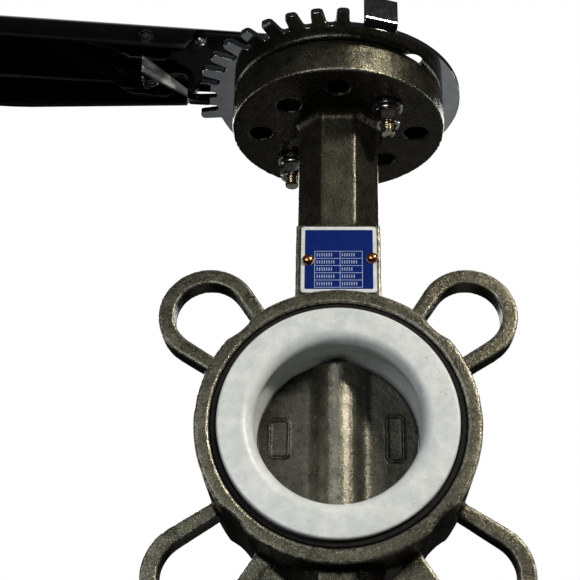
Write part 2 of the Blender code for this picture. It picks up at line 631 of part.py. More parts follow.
def make_bolt_sets(shop):
    """Two bolts through the notch plate and flange, each with a washer, spring washer and nut."""
    for side, azimuth in BOLT_AZIMUTHS.items():
        spin = Matrix.Rotation(azimuth, 4, "Z")
        place = Matrix.Translation((*polar(DIAGONAL_HOLES_R, azimuth), 0)) @ spin
        hexagon = polygon((0, 0), HEX_ACROSS, 6)
        seat = NOTCH_TOP + GAP
        head = extruded(f"bolt_{side}", [hexagon], seat, seat + BOLT_HEAD, place)
        bolt = shop.part(f"bolt_{side}", head, ZINC)
        shop.join(bolt, rod(f"bolt_shank_{side}", BOLT_R, BOLT_END, seat + 1 * MM, SMALL, place))
        top = FLANGE_BOTTOM - GAP
        washer = tube(f"flat_washer_{side}", BOLT_HOLE_R, WASHER_R, top - WASHER_THICK, top, SMALL, place)
        shop.part(f"flat_washer_{side}", washer, ZINC)
        top -= WASHER_THICK + GAP
        outline = (arc((0, 0), SPRING_WASHER_R, 0.12, 2 * math.pi - 0.12, SMALL)
                   + arc((0, 0), BOLT_HOLE_R, 2 * math.pi - 0.12, 0.12, SMALL))
        shop.part(f"spring_washer_{side}", extruded(f"spring_washer_{side}", [outline],
                                                    top - SPRING_WASHER_THICK, top, place), ZINC)
        top -= SPRING_WASHER_THICK + GAP
        nut = extruded(f"nut_{side}", [hexagon, circle((0, 0), BOLT_HOLE_R, SMALL)],
                       top - NUT_HEIGHT, top, place)
        shop.part(f"nut_{side}", nut, ZINC)


def handle_outline(inset):
    """The handle from above: round at the stem, widest past the middle, round at its end."""
    head = arc((0, 0), HEAD_HALF - inset, math.pi, math.pi / 2, 10)
    wide = [(WIDEST_AT, GRIP_HALF - inset)]
    tail_centre = (HANDLE_LENGTH - TAIL_HALF, 0)
    tail = arc(tail_centre, TAIL_HALF - inset, math.pi / 2, 0, 10)
    return mirrored(head + wide + tail)


def make_handle(shop, parent):
    solid = extruded("handle", [handle_outline(0)], WALL_BOTTOM_FAR, HANDLE_TOP)
    handle = shop.part("handle", solid, BLACK_PAINT, parent)
    shop.cut(handle, extruded("channel", [handle_outline(SHEET)], WALL_BOTTOM_FAR - OVERRUN, HANDLE_UNDER))
    low = WALL_BOTTOM_FAR - OVERRUN
    behind = -2 * HEAD_HALF
    profile = [(behind, low), (WALL_FULL_AT, low), (WALL_FROM + WALL_STEP, WALL_BOTTOM_NEAR),
               (WALL_FROM, RIM_BOTTOM), (behind, RIM_BOTTOM)]
    shop.cut(handle, extruded("wall_edges", [profile], -2 * GRIP_HALF, 2 * GRIP_HALF, UPRIGHT))
    deeper_from, deeper_to = FRONT_WALL_TO
    profile = [(0, low), (deeper_to, low), (deeper_from, FRONT_WALL_BOTTOM), (0, FRONT_WALL_BOTTOM)]
    inner, outer = FRONT_WALL_Y
    shop.cut(handle, extruded("front_wall_edge", [profile], -outer, -inner, UPRIGHT))
    socket = rectangle((0, 0), SOCKET_SQUARE, SOCKET_SQUARE)
    shop.cut(handle, extruded("web_socket", [socket], HANDLE_UNDER - OVERRUN, HANDLE_TOP + OVERRUN))
    pivot = Matrix.Translation((PIVOT_X, 0, PIVOT_Z)) @ UPRIGHT
    shop.cut(handle, rod("pin_holes", PIN_HOLE_R, -2 * GRIP_HALF, 2 * GRIP_HALF, SMALL, pivot))

    block = extruded("handle_hub", [circle((0, 0), HUB_BLOCK_R, MEDIUM), socket], *HUB_BLOCK)
    shop.part("handle_hub", block, BLACK_PAINT, parent)
    shop.part("latch_pin", rod("latch_pin", PIN_R, -PIN_HALF, PIN_HALF, SMALL, pivot), ZINC, parent)


def make_handle_screw(shop, parent):
    washer_top = HANDLE_TOP + GAP + SCREW_WASHER_THICK
    washer = tube("handle_washer", SCREW_TAP_R, SCREW_WASHER_R, HANDLE_TOP + GAP, washer_top, 24)
    shop.part("handle_washer", washer, ZINC, parent)
    seat = washer_top + GAP
    head = extruded("handle_screw", [polygon((0, 0), SCREW_HEX, 6)], seat, seat + BOLT_HEAD)
    screw = shop.part("handle_screw", head, ZINC, parent)
    shop.join(screw, rod("screw_shank", SCREW_R, SCREW_END, seat + 1 * MM, SMALL))


def trigger_outline():
    """The trigger's strip from above: narrow at the ears, wider along the grip, round at its end."""
    jog_from, jog_to = TRIGGER_JOG
    side = [(TRIGGER_FROM, TRIGGER_NARROW), (jog_from, TRIGGER_NARROW), (jog_to, TRIGGER_WIDE)]
    end = arc((TRIGGER_TO - TRIGGER_WIDE, 0), TRIGGER_WIDE, math.pi / 2, 0, 8)
    return mirrored(side + end)


def make_trigger(shop, parent):
    """A strip under the handle, two ears on the pin and an arm with the latch's nose."""
    to_pivot = Matrix.Translation((-PIVOT_X, 0, -PIVOT_Z))
    under = TRIGGER_TOP - TRIGGER_SHEET
    strip = extruded("latch_trigger", [trigger_outline()], under, TRIGGER_TOP, to_pivot)
    trigger = shop.part("latch_trigger", strip, BLACK_PAINT, parent)
    ear = [(x * MM, z * MM) for x, z in EAR_PROFILE]
    inner, outer = EAR_Y - TRIGGER_SHEET, EAR_Y
    shop.join(trigger, extruded("near_ear", [ear], inner, outer, to_pivot @ UPRIGHT),
              extruded("far_ear", [ear], -outer, -inner, to_pivot @ UPRIGHT))
    hook = [(x * MM, z * MM) for x, z in ARM_PROFILE]
    low, high = -LATCH_Y - LATCH_THICK / 2, -LATCH_Y + LATCH_THICK / 2
    shop.join(trigger, extruded("latch_arm", [hook], low, high, to_pivot @ UPRIGHT))
    shop.cut(trigger, rod("trigger_bore", PIN_HOLE_R, -2 * GRIP_HALF, 2 * GRIP_HALF, SMALL, UPRIGHT))


def make_latch_spring(shop, parent):
    """The torsion spring round the pin: one leg under the trigger's strip and one under the handle."""
    first, last = SPRING_SPAN
    steps = SPRING_STEPS * SPRING_TURNS + SPRING_STEPS // 2
    coil = []
    for i in range(steps + 1):
        angle = -math.pi / 2 + 2 * math.pi * i / SPRING_STEPS
        along = first + (last - first) * i / steps
        x = PIVOT_X + SPRING_COIL_R * math.cos(angle)
        coil.append((x, along, PIVOT_Z + SPRING_COIL_R * math.sin(angle)))
    trigger_leg = (PIVOT_X + SPRING_LEG, first, PIVOT_Z - SPRING_COIL_R)
    handle_leg = (PIVOT_X - SPRING_LEG, last, PIVOT_Z + SPRING_COIL_R)
    wire = wire_mesh("latch_spring", [trigger_leg, *coil, handle_leg], SPRING_WIRE_R)
    shop.part("latch_spring", wire, STEEL_TURNED, parent)


def axis_empty(shop, name, place, turn, parent=None):
    empty = bpy.data.objects.new(name, None)
    empty.location = place
    empty.rotation_euler = (0, 0, turn)
    empty.parent = parent
    shop.parts.objects.link(empty)
    return empty


def main():
    clear_scene()
    shop = Shop()
    stem_axis = axis_empty(shop, "stem_axis", (0, 0, 0), 0)
    handle_axis = axis_empty(shop, "handle_axis", (0, 0, 0), HANDLE_AZIMUTH, stem_axis)
    latch_axis = axis_empty(shop, "latch_axis", Vector((PIVOT_X, 0, PIVOT_Z)), 0, handle_axis)
    make_body(shop)
    make_seat(shop)
    make_disc(shop, stem_axis)
    make_stems(shop, stem_axis)
    make_bearings(shop)
    make_bottom_plug(shop)
    make_nameplate(shop)
    make_notch_plate(shop)
    make_bolt_sets(shop)
    make_handle(shop, handle_axis)
    make_handle_screw(shop, handle_axis)
    make_trigger(shop, latch_axis)
    make_latch_spring(shop, handle_axis)
    bpy.context.view_layer.update()


main()
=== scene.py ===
import math

import bmesh
import bpy
from mathutils import Matrix, Vector


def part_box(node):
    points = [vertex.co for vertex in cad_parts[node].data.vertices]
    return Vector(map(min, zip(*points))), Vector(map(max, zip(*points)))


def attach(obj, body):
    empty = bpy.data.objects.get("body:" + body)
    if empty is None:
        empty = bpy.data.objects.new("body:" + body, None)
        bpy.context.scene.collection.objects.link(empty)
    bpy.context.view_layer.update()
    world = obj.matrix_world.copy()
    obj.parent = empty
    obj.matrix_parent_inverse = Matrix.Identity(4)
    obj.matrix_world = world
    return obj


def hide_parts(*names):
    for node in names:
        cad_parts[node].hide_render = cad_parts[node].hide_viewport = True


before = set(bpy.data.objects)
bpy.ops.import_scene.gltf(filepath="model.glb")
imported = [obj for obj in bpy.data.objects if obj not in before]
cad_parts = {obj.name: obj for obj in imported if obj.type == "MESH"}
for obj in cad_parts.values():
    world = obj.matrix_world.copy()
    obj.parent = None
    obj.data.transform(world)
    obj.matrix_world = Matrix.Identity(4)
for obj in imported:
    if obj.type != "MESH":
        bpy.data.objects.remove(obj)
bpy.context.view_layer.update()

MM = 0.001
# Clearance left between neighbouring pieces
GAP = 0.3 * MM

# Radius of the disc's upright hub. Beyond it, shade is painted on the disc's sides
HUB_R = 8.5 * MM

# Seat and its backing
SEAT_BORE_R = 26.6 * MM
SEAT_TUBE_R = 29.3 * MM
SEAT_OUTER_R = 38.2 * MM
SEAT_FACE = 22.9 * MM
SEAT_BACK = 19.3 * MM
SEAT_LIP_R = 4.4 * MM
SEAT_EDGE_R = 0.9 * MM
# Undercut of the bore: how far outside the bore's radius, and how far from its middle
SEAT_BORE_PROFILE = ((0.0, 4.6 * MM), (0.1 * MM, 5.4 * MM), (1.5 * MM, 9.4 * MM),
                     (1.8 * MM, 11.0 * MM), (1.6 * MM, 12.8 * MM), (0.6 * MM, 16.0 * MM))
BACKING_OUTER_R = 40.2 * MM
BACKING_FACE = 20.9 * MM
POCKET_STEP = 16.8 * MM
BACKING_BORE_R = 32.7 * MM
STEM_HOLE_R = 6.3 * MM
STEM_HOLE_FROM, STEM_HOLE_TO = 20 * MM, 45 * MM

# Nameplate, its printed table and its rivets
PAD_FACE = 14.9 * MM
PLATE_CENTRE = (0.2 * MM, 59.7 * MM)
PLATE_SIZE = (25.8 * MM, 25.2 * MM)
PLATE_THICK = 0.6 * MM
BORDER = 1.3 * MM
TABLE_LEFT, TABLE_RIGHT = -8.0 * MM, 8.15 * MM
TABLE_BOTTOM, TABLE_TOP = 49.0 * MM, 62.7 * MM
TABLE_DIVIDER = 0.6 * MM
TABLE_ROWS = 5
PRINT_LINE = 0.2 * MM
DASH_PITCH, DASH_WIDTH, DASH_HALF_HEIGHT = 0.8 * MM, 0.34 * MM, 0.62 * MM
# Step between the plate's foil, its blue field and its white print
INK = 0.05 * MM
RIVETS = {"rivet_left": (-10.3 * MM, 59.3 * MM), "rivet_right": (11.5 * MM, 60.0 * MM)}
RIVET_HEAD_R = 1.95 * MM
RIVET_SHANK_R = 1.2 * MM
RIVET_END = 10 * MM
RIVET_DOME, RIVET_BRIM = 1.3 * MM, 0.25 * MM

# Notch plate, with its teeth from NOTCH_FIRST on, and its turned-up stop
NOTCH_BOTTOM, NOTCH_TOP = 134.3 * MM, 136.3 * MM
NOTCH_ROOT_R, NOTCH_TIP_R = 45.9 * MM, 53.3 * MM
NOTCH_COUNT = 11
NOTCH_FIRST = math.radians(171.9)
NOTCH_PITCH = math.radians(10)
TOOTH_ROOT_HALF = math.radians(3.2)
TOOTH_TIP_HALF = math.radians(2.2)
GAP_CORNER_R, TIP_CORNER_R = 1.1 * MM, 1.5 * MM
PLATE_EDGE = 0.09 * MM
CENTRE_HOLE_R = 8.6 * MM
STOP_AZIMUTH = math.radians(288.4)
STOP_WIDTH = 12.0 * MM
STOP_THICK = 2.0 * MM
STOP_TOP = 147.0 * MM
STOP_FOOT = 4 * MM
STOP_OUTER_BEND, STOP_INNER_BEND = 3.6 * MM, 1 * MM
STOP_TIP_R, STOP_EDGE = 0.5 * MM, 0.3 * MM
SPARE_HOLES_R, SPARE_HOLE_R = 36.5 * MM, 4.5 * MM
BOLT_CIRCLE_R = 25.1 * MM

# Fasteners
BOLT_R = 2.7 * MM
BOLT_HOLE_R = 3.0 * MM
THREAD_PITCH = 1.05 * MM
THREAD_DEPTH = 0.55 * MM
# Rings of points for each turn of thread, and points in each ring
THREAD_STEPS, THREAD_AROUND = 9, 40
THREAD_CHAMFER = 0.45 * MM
BOLT_END = 108.6 * MM
HEX_ACROSS = 8.6 * MM
BOLT_HEAD = 4.0 * MM
FLANGE_BOTTOM = 120.8 * MM
WASHER_R, WASHER_THICK = 5.7 * MM, 1.2 * MM
SPRING_WASHER_R, SPRING_WASHER_THICK = 4.7 * MM, 1.5 * MM
SPRING_WASHER_RISE = 0.12 * MM
NUT_HEIGHT = 4.8 * MM
HEX_LEAD = 0.5 * MM
HEX_TURN = math.radians(14)
BOLT_AZIMUTHS = {"near": math.radians(315), "far": math.radians(135)}

# Handle, in its own frame: X outwards from the stem, and +Y its front side
HANDLE_FRAME = Matrix.Rotation(math.radians(185), 4, "Z")
HANDLE_TOP = 153.0 * MM
SHEET = 2.2 * MM
HANDLE_LENGTH = 230.0 * MM
HEAD_HALF, GRIP_HALF, TAIL_HALF = 17.5 * MM, 20.0 * MM, 18.5 * MM
WIDEST_AT = 130.0 * MM
CREST_DROP, CREST_CURVE = 0.12 * MM, 0.0027 * MM
HANDLE_BEND = 2.8 * MM
RIM_BOTTOM = 149.6 * MM
WALL_FROM, WALL_STEP = 54.0 * MM, 4 * MM
WALL_NEAR_Z, WALL_FAR_Z = 143.0 * MM, 139.0 * MM
WALL_FULL_AT = 120.0 * MM
SOCKET_SQUARE = 9.0 * MM
HUB_BLOCK_R = 14.0 * MM
HUB_BLOCK = (138.6 * MM, 150.5 * MM)
FRONT_WALL_Z = 143.2 * MM
FRONT_WALL_TO = (150.0 * MM, 168.0 * MM)

# Trigger's pin and spring, and the screw on top of the handle
PIVOT_X, PIVOT_Z = 72.0 * MM, 146.5 * MM
PIVOT_HOLE_R, PIVOT_HOLE_HALF = 2.3 * MM, 30 * MM
PIN_R, PIN_END_R, PIN_HALF, PIN_DOME = 2 * MM, 1.3 * MM, 19.3 * MM, 0.8 * MM
SPRING_R, SPRING_WIRE_R = 3 * MM, 0.45 * MM
SPRING_TURNS, SPRING_FROM, SPRING_TO = 3.5, -9.4 * MM, -2.6 * MM
SPRING_LEG = 10 * MM
TOP_WASHER_R, TOP_WASHER_HOLE_R, TOP_WASHER_THICK = 8 * MM, 3.2 * MM, 1.3 * MM
SCREW_ACROSS, SCREW_R, SCREW_END = 10 * MM, 2.9 * MM, 143.5 * MM

# Stud under the handle's web, by radius and height from the web's underside
STUD_X, STUD_Y = 52.6 * MM, 13.4 * MM
STUD_PROFILE = ((0.0, -2.8 * MM), (0.6 * MM, -2.72 * MM), (1.2 * MM, -2.4 * MM),
                (1.7 * MM, -1.95 * MM), (2.05 * MM, -1.35 * MM), (2.2 * MM, -0.6 * MM),
                (2.2 * MM, 0.3 * MM), (0.0, 0.3 * MM))

# Gusset of the trigger: its ends, the half width and twist at each, thickness and bow
GUSSET_FROM = (73.4 * MM, 8.4 * MM, 141.0 * MM)
GUSSET_TO = (55.6 * MM, -9.0 * MM, 140.6 * MM)
GUSSET_WIDE = (5.2 * MM, 1.4 * MM)
GUSSET_TWIST = (math.radians(2), math.radians(66))
GUSSET_THICK = 1.2 * MM
# Place across it as a fraction of its half width, and how far it is bent down there
GUSSET_PROFILE = ((1, 0), (0.75, 0), (0.5, 0), (0.3, 0.1 * MM), (0.15, 0.4 * MM),
                  (0.05, 0.9 * MM), (-0.02, 1.6 * MM), (-0.05, 2.4 * MM))
GUSSET_BOW = -0.5 * MM

# Plug under the bottom boss
PLUG_ACROSS, PLUG_HEAD, PLUG_THREAD_R = 19 * MM, 4 * MM, 8 * MM

UPRIGHT = Matrix.Rotation(math.radians(90), 4, "X")
ALONG_PIPE = Matrix.Rotation(math.radians(-90), 4, "X")
IDENTITY = Matrix.Identity(4)


# Outlines

def arc(centre, radius, start, end, count):
    angles = [start + (end - start) * i / count for i in range(count + 1)]
    return [(centre[0] + radius * math.cos(a), centre[1] + radius * math.sin(a))
            for a in angles]


def circle(centre, radius, count=64):
    return arc(centre, radius, 0, 2 * math.pi, count)[:-1]


def polar(radius, azimuth):
    return (radius * math.cos(azimuth), radius * math.sin(azimuth))


def rectangle(left, bottom, right, top):
    return [(left, bottom), (right, bottom), (right, top), (left, top)]


def mirrored(points):
    """An open outline closed by its own reflection in the X axis."""
    return points + [(u, -v) for u, v in reversed(points) if abs(v) > 1e-9]


def both_halves(half):
    """A profile of (radius, height) closed by its own reflection in height."""
    return half + [(r, -h) for r, h in reversed(half)]


def cylinder(radius, low, high):
    """The profile of a plain cylinder."""
    return [(0, low), (radius, low), (radius, high), (0, high)]


def rounded(corners, radii, count=6):
    """A closed outline with each corner turned into an arc of its own radius."""
    points = []
    for i, (corner, radius) in enumerate(zip(corners, radii)):
        here = Vector(corner)
        before = Vector(corners[i - 1]) - here
        after = Vector(corners[(i + 1) % len(corners)]) - here
        half = before.angle(after) / 2
        if radius == 0 or half > 0.499 * math.pi:
            points.append(corner)
            continue
        reach = min(radius / math.tan(half), 0.49 * min(before.length, after.length))
        inwards = (before.normalized() + after.normalized()).normalized()
        centre = here + inwards * (reach / math.cos(half))
        start = here + before.normalized() * reach - centre
        end = here + after.normalized() * reach - centre
        turn = math.atan2(start.x * end.y - start.y * end.x, start.dot(end))
        for k in range(count + 1):
            a = turn * k / count
            points.append((centre.x + start.x * math.cos(a) - start.y * math.sin(a),
                           centre.y + start.x * math.sin(a) + start.y * math.cos(a)))
    return points


# Meshes

def evaluated_mesh(obj):
    """A new mesh of what an object's curve or modifiers give."""
    outcome = obj.evaluated_get(bpy.context.evaluated_depsgraph_get())
    return bpy.data.meshes.new_from_object(outcome)


def finished(name, bm, matrix=IDENTITY):
    """Welds a bmesh, points its faces outwards and turns it into a mesh."""
    bmesh.ops.remove_doubles(bm, verts=bm.verts, dist=1e-6)
    bmesh.ops.recalc_face_normals(bm, faces=bm.faces)
    mesh = bpy.data.meshes.new(name)
    bm.to_mesh(mesh)
    bm.free()
    mesh.transform(matrix)
    return mesh


def curve_mesh(name, curve, matrix):
    """Takes a curve drawn in millimetres to a closed mesh in metres."""
    holder = bpy.data.objects.new(name, curve)
    bpy.context.scene.collection.objects.link(holder)
    filled = evaluated_mesh(holder)
    bm = bmesh.new()
    bm.from_mesh(filled)
    bpy.data.objects.remove(holder)
    bpy.data.meshes.remove(filled)
    bm.transform(Matrix.Scale(MM, 4))
    return finished(name, bm, matrix)


def add_spline(curve, points):
    spline = curve.splines.new("POLY")
    spline.points.add(len(points) - 1)
    for point, place in zip(spline.points, points):
        point.co = (*(Vector(place).to_3d() / MM), 1)
    return spline


def flat(name, outlines, low, high, edge=0.0, matrix=IDENTITY):
    """A flat outline with any holes, filled between two heights, its edges rounded."""
    curve = bpy.data.curves.new(name, "CURVE")
    curve.dimensions = "2D"
    curve.fill_mode = "BOTH"
    curve.extrude = ((high - low) / 2 - edge) / MM
    curve.bevel_depth = edge / MM
    curve.bevel_resolution = 2
    curve.offset = -edge / MM
    for outline in outlines:
        add_spline(curve, outline).use_cyclic_u = True
    return curve_mesh(name, curve, matrix @ Matrix.Translation((0, 0, (low + high) / 2)))


def wire(name, points, radius, matrix=IDENTITY):
    curve = bpy.data.curves.new(name, "CURVE")
    curve.dimensions = "3D"
    curve.bevel_depth = radius / MM
    curve.bevel_resolution = 4
    curve.use_fill_caps = True
    add_spline(curve, points)
    return curve_mesh(name, curve, matrix)


def turned(name, profile, steps=96, matrix=IDENTITY):
    """A profile of (radius, height) turned about Z.

    The profile is closed unless it starts and ends on the axis.
    """
    bm = bmesh.new()
    verts = [bm.verts.new((r, 0, h)) for r, h in profile]
    on_axis = profile[0][0] == 0 and profile[-1][0] == 0
    pairs = list(zip(verts, verts[1:])) + ([] if on_axis else [(verts[-1], verts[0])])
    edges = [bm.edges.new(pair) for pair in pairs]
    bmesh.ops.spin(bm, geom=verts + edges, cent=(0, 0, 0), axis=(0, 0, 1),
                   angle=2 * math.pi, steps=steps, use_merge=True)
    return finished(name, bm, matrix)


def lofted(name, rings, matrix=IDENTITY):
    """Faces between rings of points, with the first and last ring filled."""
    bm = bmesh.new()
    rows = [[bm.verts.new(p) for p in ring] for ring in rings]
    for row, other in zip(rows, rows[1:]):
        for i in range(len(row)):
            j = (i + 1) % len(row)
            bm.faces.new((row[i], row[j], other[j], other[i]))
    bm.faces.new(list(reversed(rows[0])))
    bm.faces.new(rows[-1])
    bmesh.ops.triangulate(bm, faces=[f for f in bm.faces if len(f.verts) > 4])
    return finished(name, bm, matrix)


def combined(mesh, others, operation):
    """A mesh with others joined to it, cut from it or crossed with it."""
    for other in others:
        target = bpy.data.objects.new("target", mesh)
        tool = bpy.data.objects.new("tool", other)
        for obj in (target, tool):
            bpy.context.scene.collection.objects.link(obj)
        modifier = target.modifiers.new("combine", "BOOLEAN")
        modifier.operation = operation
        modifier.solver = "EXACT"
        modifier.object = tool
        mesh = evaluated_mesh(target)
        bpy.data.objects.remove(target)
        bpy.data.objects.remove(tool)
    return mesh


def merged(name, meshes):
    """Separate shapes kept in one mesh."""
    bm = bmesh.new()
    for mesh in meshes:
        bm.from_mesh(mesh)
    mesh = bpy.data.meshes.new(name)
    bm.to_mesh(mesh)
    bm.free()
    return mesh


# Materials

class Finish:
    """A Principled material with its grain, wear and relief, in object coordinates."""

    def __init__(self, name, metallic=0.0, coat=0.0, coat_roughness=0.05):
        self.material = bpy.data.materials.new(name)
        self.material.use_nodes = True
        self.tree = self.material.node_tree
        self.shader = self.tree.nodes["Principled BSDF"]
        self.shader.inputs["Metallic"].default_value = metallic
        self.shader.inputs["Coat Weight"].default_value = coat
        self.shader.inputs["Coat Roughness"].default_value = coat_roughness
        self.place = self.tree.nodes.new("ShaderNodeTexCoord").outputs["Object"]
        self.normal = None

    def put(self, socket, value):
        if isinstance(value, bpy.types.NodeSocket):
            self.tree.links.new(value, socket)
        elif isinstance(value, tuple):
            colour = len(value) == 3 and socket.type == "RGBA"
            socket.default_value = (*value, 1) if colour else value
        else:
            socket.default_value = value

    def stretched(self, scale):
        """Coordinates scaled by axis, for grain that runs one way."""
        mapping = self.tree.nodes.new("ShaderNodeMapping")
        self.tree.links.new(self.place, mapping.inputs["Vector"])
        mapping.inputs["Scale"].default_value = scale
        return mapping.outputs["Vector"]

    def noise(self, size, detail=2.0, roughness=0.5, place=None):
        """Noise whose features are about size metres across."""
        node = self.tree.nodes.new("ShaderNodeTexNoise")
        self.tree.links.new(place or self.place, node.inputs["Vector"])
        node.inputs["Scale"].default_value = 1 / size
        node.inputs["Detail"].default_value = detail
        node.inputs["Roughness"].default_value = roughness
        return node.outputs["Fac"]

    def share(self, mask, amount):
        """A mask made weaker, so that it lets only some of a colour through."""
        return self.math("MULTIPLY", mask, amount)

    def side_distance(self):
        """How far to either side of the object's middle plane."""
        split = self.tree.nodes.new("ShaderNodeSeparateXYZ")
        self.tree.links.new(self.place, split.inputs[0])
        return self.math("ABSOLUTE", split.outputs["X"])

    def pointed(self):
        """High on outer edges and low in hollows."""
        return self.tree.nodes.new("ShaderNodeNewGeometry").outputs["Pointiness"]

    def span(self, value, low, high, to_low=0.0, to_high=1.0):
        """A value taken linearly from one range to another and held at its ends."""
        node = self.tree.nodes.new("ShaderNodeMapRange")
        for socket, number in zip(node.inputs[:5], (value, low, high, to_low, to_high)):
            self.put(socket, number)
        return node.outputs["Result"]

    def math(self, operation, a, b=0.0):
        node = self.tree.nodes.new("ShaderNodeMath")
        node.operation = operation
        self.put(node.inputs[0], a)
        self.put(node.inputs[1], b)
        return node.outputs[0]

    def mix(self, factor, a, b):
        node = self.tree.nodes.new("ShaderNodeMix")
        node.data_type = "RGBA"
        self.put(node.inputs["Factor"], factor)
        self.put(node.inputs["A"], a)
        self.put(node.inputs["B"], b)
        return node.outputs["Result"]

    def relief(self, height, depth, strength=1.0):
        """Adds a bump of the given depth in metres to those already there."""
        node = self.tree.nodes.new("ShaderNodeBump")
        node.inputs["Distance"].default_value = depth
        node.inputs["Strength"].default_value = strength
        self.tree.links.new(height, node.inputs["Height"])
        if self.normal:
            self.tree.links.new(self.normal, node.inputs["Normal"])
        self.normal = node.outputs["Normal"]

    def done(self, colour, roughness):
        """Wires up colour, roughness and relief, and gives the material."""
        self.put(self.shader.inputs["Base Color"], colour)
        self.put(self.shader.inputs["Roughness"], roughness)
        if self.normal:
            self.tree.links.new(self.normal, self.shader.inputs["Normal"])
        return self.material


def cast_stainless(name, light, dark, wear, unshaded_half=None):
    """Sand-cast stainless steel: grain with painted glints, stains, pits and paler worn
    edges.

    A half width given as the last argument leaves a middle strip as it is and paints
    shade on the sides beyond it.
    """
    f = Finish(name, metallic=0.86)
    blotch = f.span(f.noise(6 * MM, 4, 0.65), 0.36, 0.66)
    grain = f.noise(0.6 * MM, 3, 0.7)
    colour = f.mix(blotch, dark, light)
    # Painted glints: grain specks lifted towards a warm light colour stand in for the
    # lamps' sparkle on the grain.
    painted_glints = f.span(grain, 0.54, 0.70, 0.0, 0.32)
    colour = f.mix(painted_glints, colour, f.mix(0.4, light, (1.0, 0.92, 0.80)))
    stain = f.span(f.noise(2.4 * MM, 4, 0.7), 0.46, 0.30)
    colour = f.mix(f.share(stain, 0.65), colour, tuple(0.35 * c for c in dark))
    pits = f.span(f.noise(1.2 * MM, 2, 0.5), 0.31, 0.25)
    colour = f.mix(f.share(pits, 0.9), colour, (0.012, 0.011, 0.009))
    patchy = f.span(f.noise(1.5 * MM, 3, 0.6), 0.3, 0.55)
    edges = f.math("MULTIPLY", f.span(f.pointed(), 0.515, 0.57), patchy)
    colour = f.mix(f.share(edges, wear), colour, (0.66, 0.64, 0.55))
    if unshaded_half:
        fade = 1.5 * MM
        # Painted shade: beyond the given half width the sides are darkened towards a
        # fifth of the dark colour.
        side = f.span(f.side_distance(), unshaded_half - fade, unshaded_half + fade, 0.0, 0.72)
        colour = f.mix(side, colour, tuple(0.2 * c for c in dark))
    f.relief(f.noise(2.6 * MM, 3, 0.6), 0.16 * MM, 0.5)
    f.relief(grain, 0.13 * MM, 1.0)
    return f.done(colour, f.span(f.noise(0.9 * MM, 3, 0.6), 0.3, 0.7, 0.22, 0.38))


def plated_zinc(name, tint, roughness=0.30, metallic=1.0):
    """Zinc plating: fine mottling, dark specks, painted shade in hollows and a slight
    grain.
    """
    f = Finish(name, metallic=metallic)
    mottled = f.span(f.noise(3.5 * MM, 4, 0.6), 0.3, 0.7)
    colour = f.mix(mottled, tuple(0.80 * c for c in tint), tint)
    specks = f.span(f.noise(0.5 * MM, 3, 0.7), 0.34, 0.26)
    colour = f.mix(f.share(specks, 0.6), colour, (0.22, 0.22, 0.21))
    # Painted shade: hollows found by pointiness are darkened nearly to black.
    painted_hollow_shade = f.span(f.pointed(), 0.49, 0.42)
    colour = f.mix(f.share(painted_hollow_shade, 0.9), colour, (0.03, 0.028, 0.024))
    f.relief(f.noise(0.35 * MM, 2, 0.6), 0.01 * MM, 0.4)
    polish = f.noise(1.4 * MM, 4, 0.7)
    return f.done(colour, f.span(polish, 0.3, 0.7, roughness - 0.02, roughness + 0.03))


def black_lacquer():
    """Thick glossy black paint over pressed steel, with orange peel, a little dust, and
    grey edges that are partly rubbed paint and partly painted highlight.
    """
    f = Finish("black_lacquer", coat=0.25, coat_roughness=0.05)
    f.shader.inputs["Specular IOR Level"].default_value = 0.2
    dust = f.span(f.noise(0.28 * MM, 2, 0.6), 0.74, 0.80)
    colour = f.mix(f.share(dust, 0.25), (0.0011, 0.0015, 0.0015), (0.08, 0.08, 0.075))
    # Edges lightened to grey: partly rubbed paint, partly a painted highlight along the
    # edges and bends.
    rubbed_and_highlit_edges = f.span(f.pointed(), 0.54, 0.62)
    colour = f.mix(f.share(rubbed_and_highlit_edges, 0.45), colour, (0.16, 0.16, 0.16))
    f.relief(f.noise(1.6 * MM, 2, 0.5), 0.035 * MM, 0.5)
    f.relief(f.noise(14 * MM, 2, 0.5), 0.3 * MM, 0.3)
    return f.done(colour, f.span(f.noise(4 * MM, 4, 0.6), 0.3, 0.7, 0.12, 0.24))


def ptfe():
    """White PTFE with faint clouds, a few grey specks and smudges, and small dents."""
    f = Finish("ptfe")
    f.shader.inputs["Subsurface Weight"].default_value = 0.12
    f.shader.inputs["Subsurface Radius"].default_value = (1.2 * MM, 1.0 * MM, 0.9 * MM)
    f.shader.inputs["Subsurface Scale"].default_value = 1.0
    cloud = f.span(f.noise(5 * MM, 5, 0.7), 0.35, 0.65)
    colour = f.mix(cloud, (0.64, 0.695, 0.695), (0.82, 0.865, 0.855))
    specks = f.span(f.noise(0.75 * MM, 1, 0.4), 0.25, 0.19)
    colour = f.mix(f.share(specks, 0.7), colour, (0.20, 0.20, 0.19))
    smudge = f.span(f.noise(2.2 * MM, 4, 0.75), 0.58, 0.74)
    colour = f.mix(f.share(smudge, 0.35), colour, (0.40, 0.42, 0.41))
    f.relief(f.noise(2.5 * MM, 3, 0.6), 0.05 * MM, 0.5)
    f.relief(f.noise(0.4 * MM, 2, 0.6), 0.012 * MM, 0.5)
    return f.done(colour, f.span(f.noise(2 * MM, 3, 0.6), 0.3, 0.7, 0.30, 0.46))


def rubber():
    """Matt black rubber with a faint bloom."""
    f = Finish("black_rubber")
    f.shader.inputs["Specular IOR Level"].default_value = 0.2
    bloom = f.span(f.noise(1.5 * MM, 4, 0.7), 0.4, 0.7)
    colour = f.mix(bloom, (0.002, 0.002, 0.002), (0.010, 0.010, 0.0095))
    f.relief(f.noise(0.5 * MM, 3, 0.6), 0.05 * MM, 0.6)
    return f.done(colour, f.span(f.noise(1 * MM, 3, 0.6), 0.3, 0.7, 0.55, 0.8))


